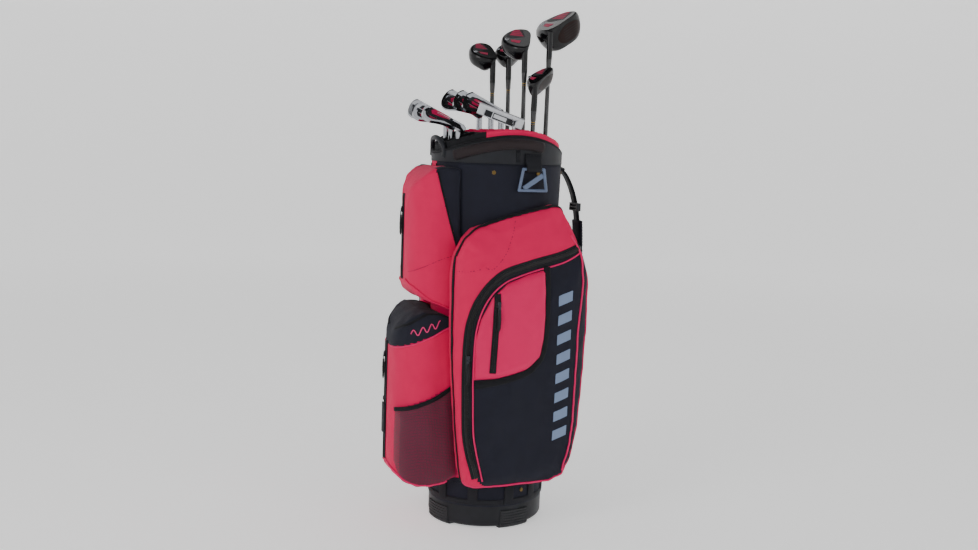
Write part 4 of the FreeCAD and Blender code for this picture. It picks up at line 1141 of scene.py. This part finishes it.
def iron_details(name):
    loft, rise = IRONS[name]
    m = (head_frame(name, rise) @ Matrix.Translation((0, -5.5 * MM, 0))
         @ Matrix.Rotation(math.radians(loft), 4, "X"))
    tree = tree_of(nodes[name + "_head"])
    s = 0.96
    back = (m.to_3x3() @ Vector((0, -1, 0))).normalized()

    def behind(x, w):
        return m @ (Vector((x * s, 60, -w * s)) * MM)

    def before(x, w):
        return m @ (Vector((x * s, -30, -w * s)) * MM)

    floor_shape = [(15, 18.5), (30, 16), (55, 16), (69, 18.5), (74, 26.5), (72.5, 38), (67, 45.5), (60.5, 46),
                   (43, 37.6), (23, 29.4), (14, 24.6)]
    club_piece(patch(name + "_cavity_badge", [floor_shape], 1.6, tree, behind, back, 0.15 * MM), name, "wood_paint",
               graphite_paint)
    club_piece(patch(name + "_cavity_colour", [[(24, 18.6), (60, 18.6), (66, 24), (62, 31), (40, 28), (22, 24)],
                                               [(48, 33), (66, 36), (62, 41), (50, 37)]],
                     1.2, tree, behind, back, 0.4 * MM), name, "wood_paint", magenta_paint)
    lines = [[(20, 20.6 + 3.1 * k), (52, 20.6 + 3.1 * k), (52, 21.4 + 3.1 * k), (20, 21.4 + 3.1 * k)] for k in range(2)]
    lines += [[(44, 34.6), (70, 34.2), (70, 35.2), (44, 35.6)]]
    club_piece(patch(name + "_cavity_lines", lines, 0.8, tree, behind, back, 0.6 * MM), name, "iron_chrome",
               satin_steel)
    ahead = -back
    grooves = [[(14, 6 + 3.4 * k), (60, 6 + 3.4 * k), (60, 6.9 + 3.4 * k), (14, 6.9 + 3.4 * k)] for k in range(9)]
    club_piece(patch(name + "_face_grooves", grooves, 0.9, tree, before, ahead, 0.12 * MM), name, "iron_chrome",
               graphite_paint)


def putter_details():
    name, m = "putter", head_frame("putter", 19.0)
    tree = tree_of(nodes["putter_head"])
    back = (m.to_3x3() @ Vector((0, -1, 0))).normalized()

    def behind(x, w):
        return m @ (Vector((x, 60, -w)) * MM)

    club_piece(patch("putter_cavity_face", [[(-6, 10), (62, 10), (62, 23), (-6, 23)]], 2.0, tree, behind, back,
                     0.15 * MM), name, "putter_steel", graphite_paint)
    club_piece(patch("putter_cavity_lip", [[(14, 12), (42, 12), (42, 20), (14, 20)]], 2.0, tree, behind, back,
                     0.5 * MM), name, "putter_steel", satin_steel)


def shaft_bands(name):
    """The bright rings painted on each shaft below its ferrule."""
    length = CLUBS[name][0]
    m = club_frame(name)
    depth = {"driver": 66, "hybrid": 64, "putter": 84}.get(name, 74 if name in IRONS else 60)
    mouth = length - depth
    for k, (z, high) in enumerate(((mouth - 24, 1.4), (mouth - 28, 0.8))):
        r = 7.6 - 2.9 * z / length + 0.25
        ring = turned("%s_ring_%d" % (name, k), [(r, z), (r + 0.2, z + 0.2), (r + 0.2, z + high - 0.2), (r, z + high)],
                      20, m)
        club_piece(ring, name, "iron_chrome", gold_ring if name in WOODS else chrome)


def clubs():
    for name in CLUBS:
        head, shaft, grip = (nodes[name + part] for part in ("_head", "_shaft", "_grip"))
        wood, iron = name in WOODS, name in IRONS
        dress(head, black_lacquer if wood else chrome if iron else satin_steel)
        dress(shaft, shaft_lacquer if wood else shaft_steel)
        dress(grip, grip_rubber)
        if wood:
            wood_details(name)
        if iron:
            iron_details(name)
        shaft_bands(name)
    putter_details()


# ---------------------------------------------------------------- studio
def studio():
    """A pale paper bowl under three softboxes."""
    turn = math.radians(70)
    away = Vector((-math.sin(turn), math.cos(turn), 0))
    right = Vector((math.cos(turn), math.sin(turn), 0))
    rows = [(0.02, 0.0), (5.0, 0.0)]
    for k in range(1, 13):
        a = k / 12 * math.pi / 2
        rows.append((5.0 + 2.2 * math.sin(a), 2.2 - 2.2 * math.cos(a)))
    rows.append((7.2, 6.0))
    count = 64
    verts, faces = [], []
    for r, z in rows:
        for k in range(count):
            a = math.tau * k / count
            verts.append(Vector((r * math.cos(a), r * math.sin(a), z)))
    for j in range(len(rows) - 1):
        for k in range(count):
            q = (k + 1) % count
            faces.append((j * count + k, j * count + q, (j + 1) * count + q, (j + 1) * count + k))
    faces.append(tuple(range(count))[::-1])
    backdrop = new_mesh("studio_floor", verts, faces)
    dress(backdrop, surface("pale_studio_paper", Base_Color=linear("FAFAFA"), Roughness=0.9,
                            Emission_Color=linear("FFFFFF"), Emission_Strength=0.5)[0])

    world = bpy.data.worlds.new("studio")
    bpy.context.scene.world = world
    world.use_nodes = True
    t = world.node_tree
    place = add(t, "ShaderNodeTexCoord")
    part = add(t, "ShaderNodeSeparateXYZ", {0: place.outputs["Generated"]})
    height = add(t, "ShaderNodeMapRange", {"Value": part.outputs["Z"], "From Min": -0.2, "From Max": 0.9,
                                           "To Min": 0.2, "To Max": 0.4})
    t.links.new(height.outputs["Result"], t.nodes["Background"].inputs["Strength"])

    def softbox(name, across, near_by, up, aim, size, power):
        light = bpy.data.lights.new(name, "AREA")
        light.shape, light.size, light.size_y, light.energy = "RECTANGLE", size[0], size[1], power
        obj = bpy.data.objects.new(name, light)
        obj.location = -away * near_by + right * across + Vector((0, 0, up))
        obj.rotation_euler = (Vector(aim) - obj.location).to_track_quat("-Z", "Y").to_euler()
        bpy.context.scene.collection.objects.link(obj)

    softbox("key_softbox", -1.7, 1.9, 1.9, (0, 0, 0.55), (1.0, 1.6), 17)
    softbox("fill_softbox", 2.0, 1.5, 1.2, (0, 0, 0.5), (0.9, 1.8), 4)
    softbox("top_softbox", 0.2, -0.3, 2.8, (0, 0, 0.8), (1.6, 1.6), 8)


def camera():
    """Stands where the set is seen a little from its front and level with its mouth."""
    data = bpy.data.cameras.new("camera")
    obj = bpy.data.objects.new("camera", data)
    bpy.context.scene.collection.objects.link(obj)
    data.sensor_width, data.lens = 36.0, 36.0 * 1040 / 978
    data.shift_x = -3.5 / 978
    turn, dip, tilt = math.radians(70), math.radians(7.55), math.radians(2.1)
    back = Vector((math.sin(turn) * math.cos(dip), -math.cos(turn) * math.cos(dip), math.sin(dip)))
    right = Vector((math.cos(turn), math.sin(turn), 0))
    up = back.cross(right)
    lean_right = right * math.cos(tilt) + up * math.sin(tilt)
    lean_up = up * math.cos(tilt) - right * math.sin(tilt)
    m = Matrix((lean_right, lean_up, back)).transposed().to_4x4()
    m.translation = Vector((math.sin(turn) * 2.3, -math.cos(turn) * 2.3, 0.85))
    obj.matrix_world = m
    bpy.context.scene.camera = obj


def hard_parts():
    dress(nodes["base_cup"], base_plastic)
    dress(nodes["base_treads"], tread_rubber)
    dress(nodes["frame_stays"], stay_metal)
    dress(nodes["top_collar"], collar_plastic)
    dress(nodes["metal_fittings"], aged_brass, base_plastic)
    pick_faces(nodes["metal_fittings"], lambda c, n: 1 if c.y > 0.16 else 0)
    dress(nodes["towel_ring"], ring_plastic)
    for node in ("zip_garment_right", "zip_garment_left", "zip_valuables", "zip_upper", "zip_lower"):
        dress(nodes[node], slider_metal)


camera()
studio()
hard_parts()
bag_body()
_, right_tree = garment_pocket(1)
garment_pocket(-1)
side_panel(right_tree)
lower_pocket()
upper_pocket()
collar_trim()
divider()
ring_loop()
strap()
for zip_node, facing in (("zip_garment_right", (1, 0, 0)), ("zip_garment_left", (-1, 0, 0)),
                         ("zip_valuables", (1, 0, 0)), ("zip_upper", (0, -1, 0)), ("zip_lower", (0, -1, 0))):
    pull_tab(zip_node, facing)
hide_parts("zipper_tracks")
clubs()
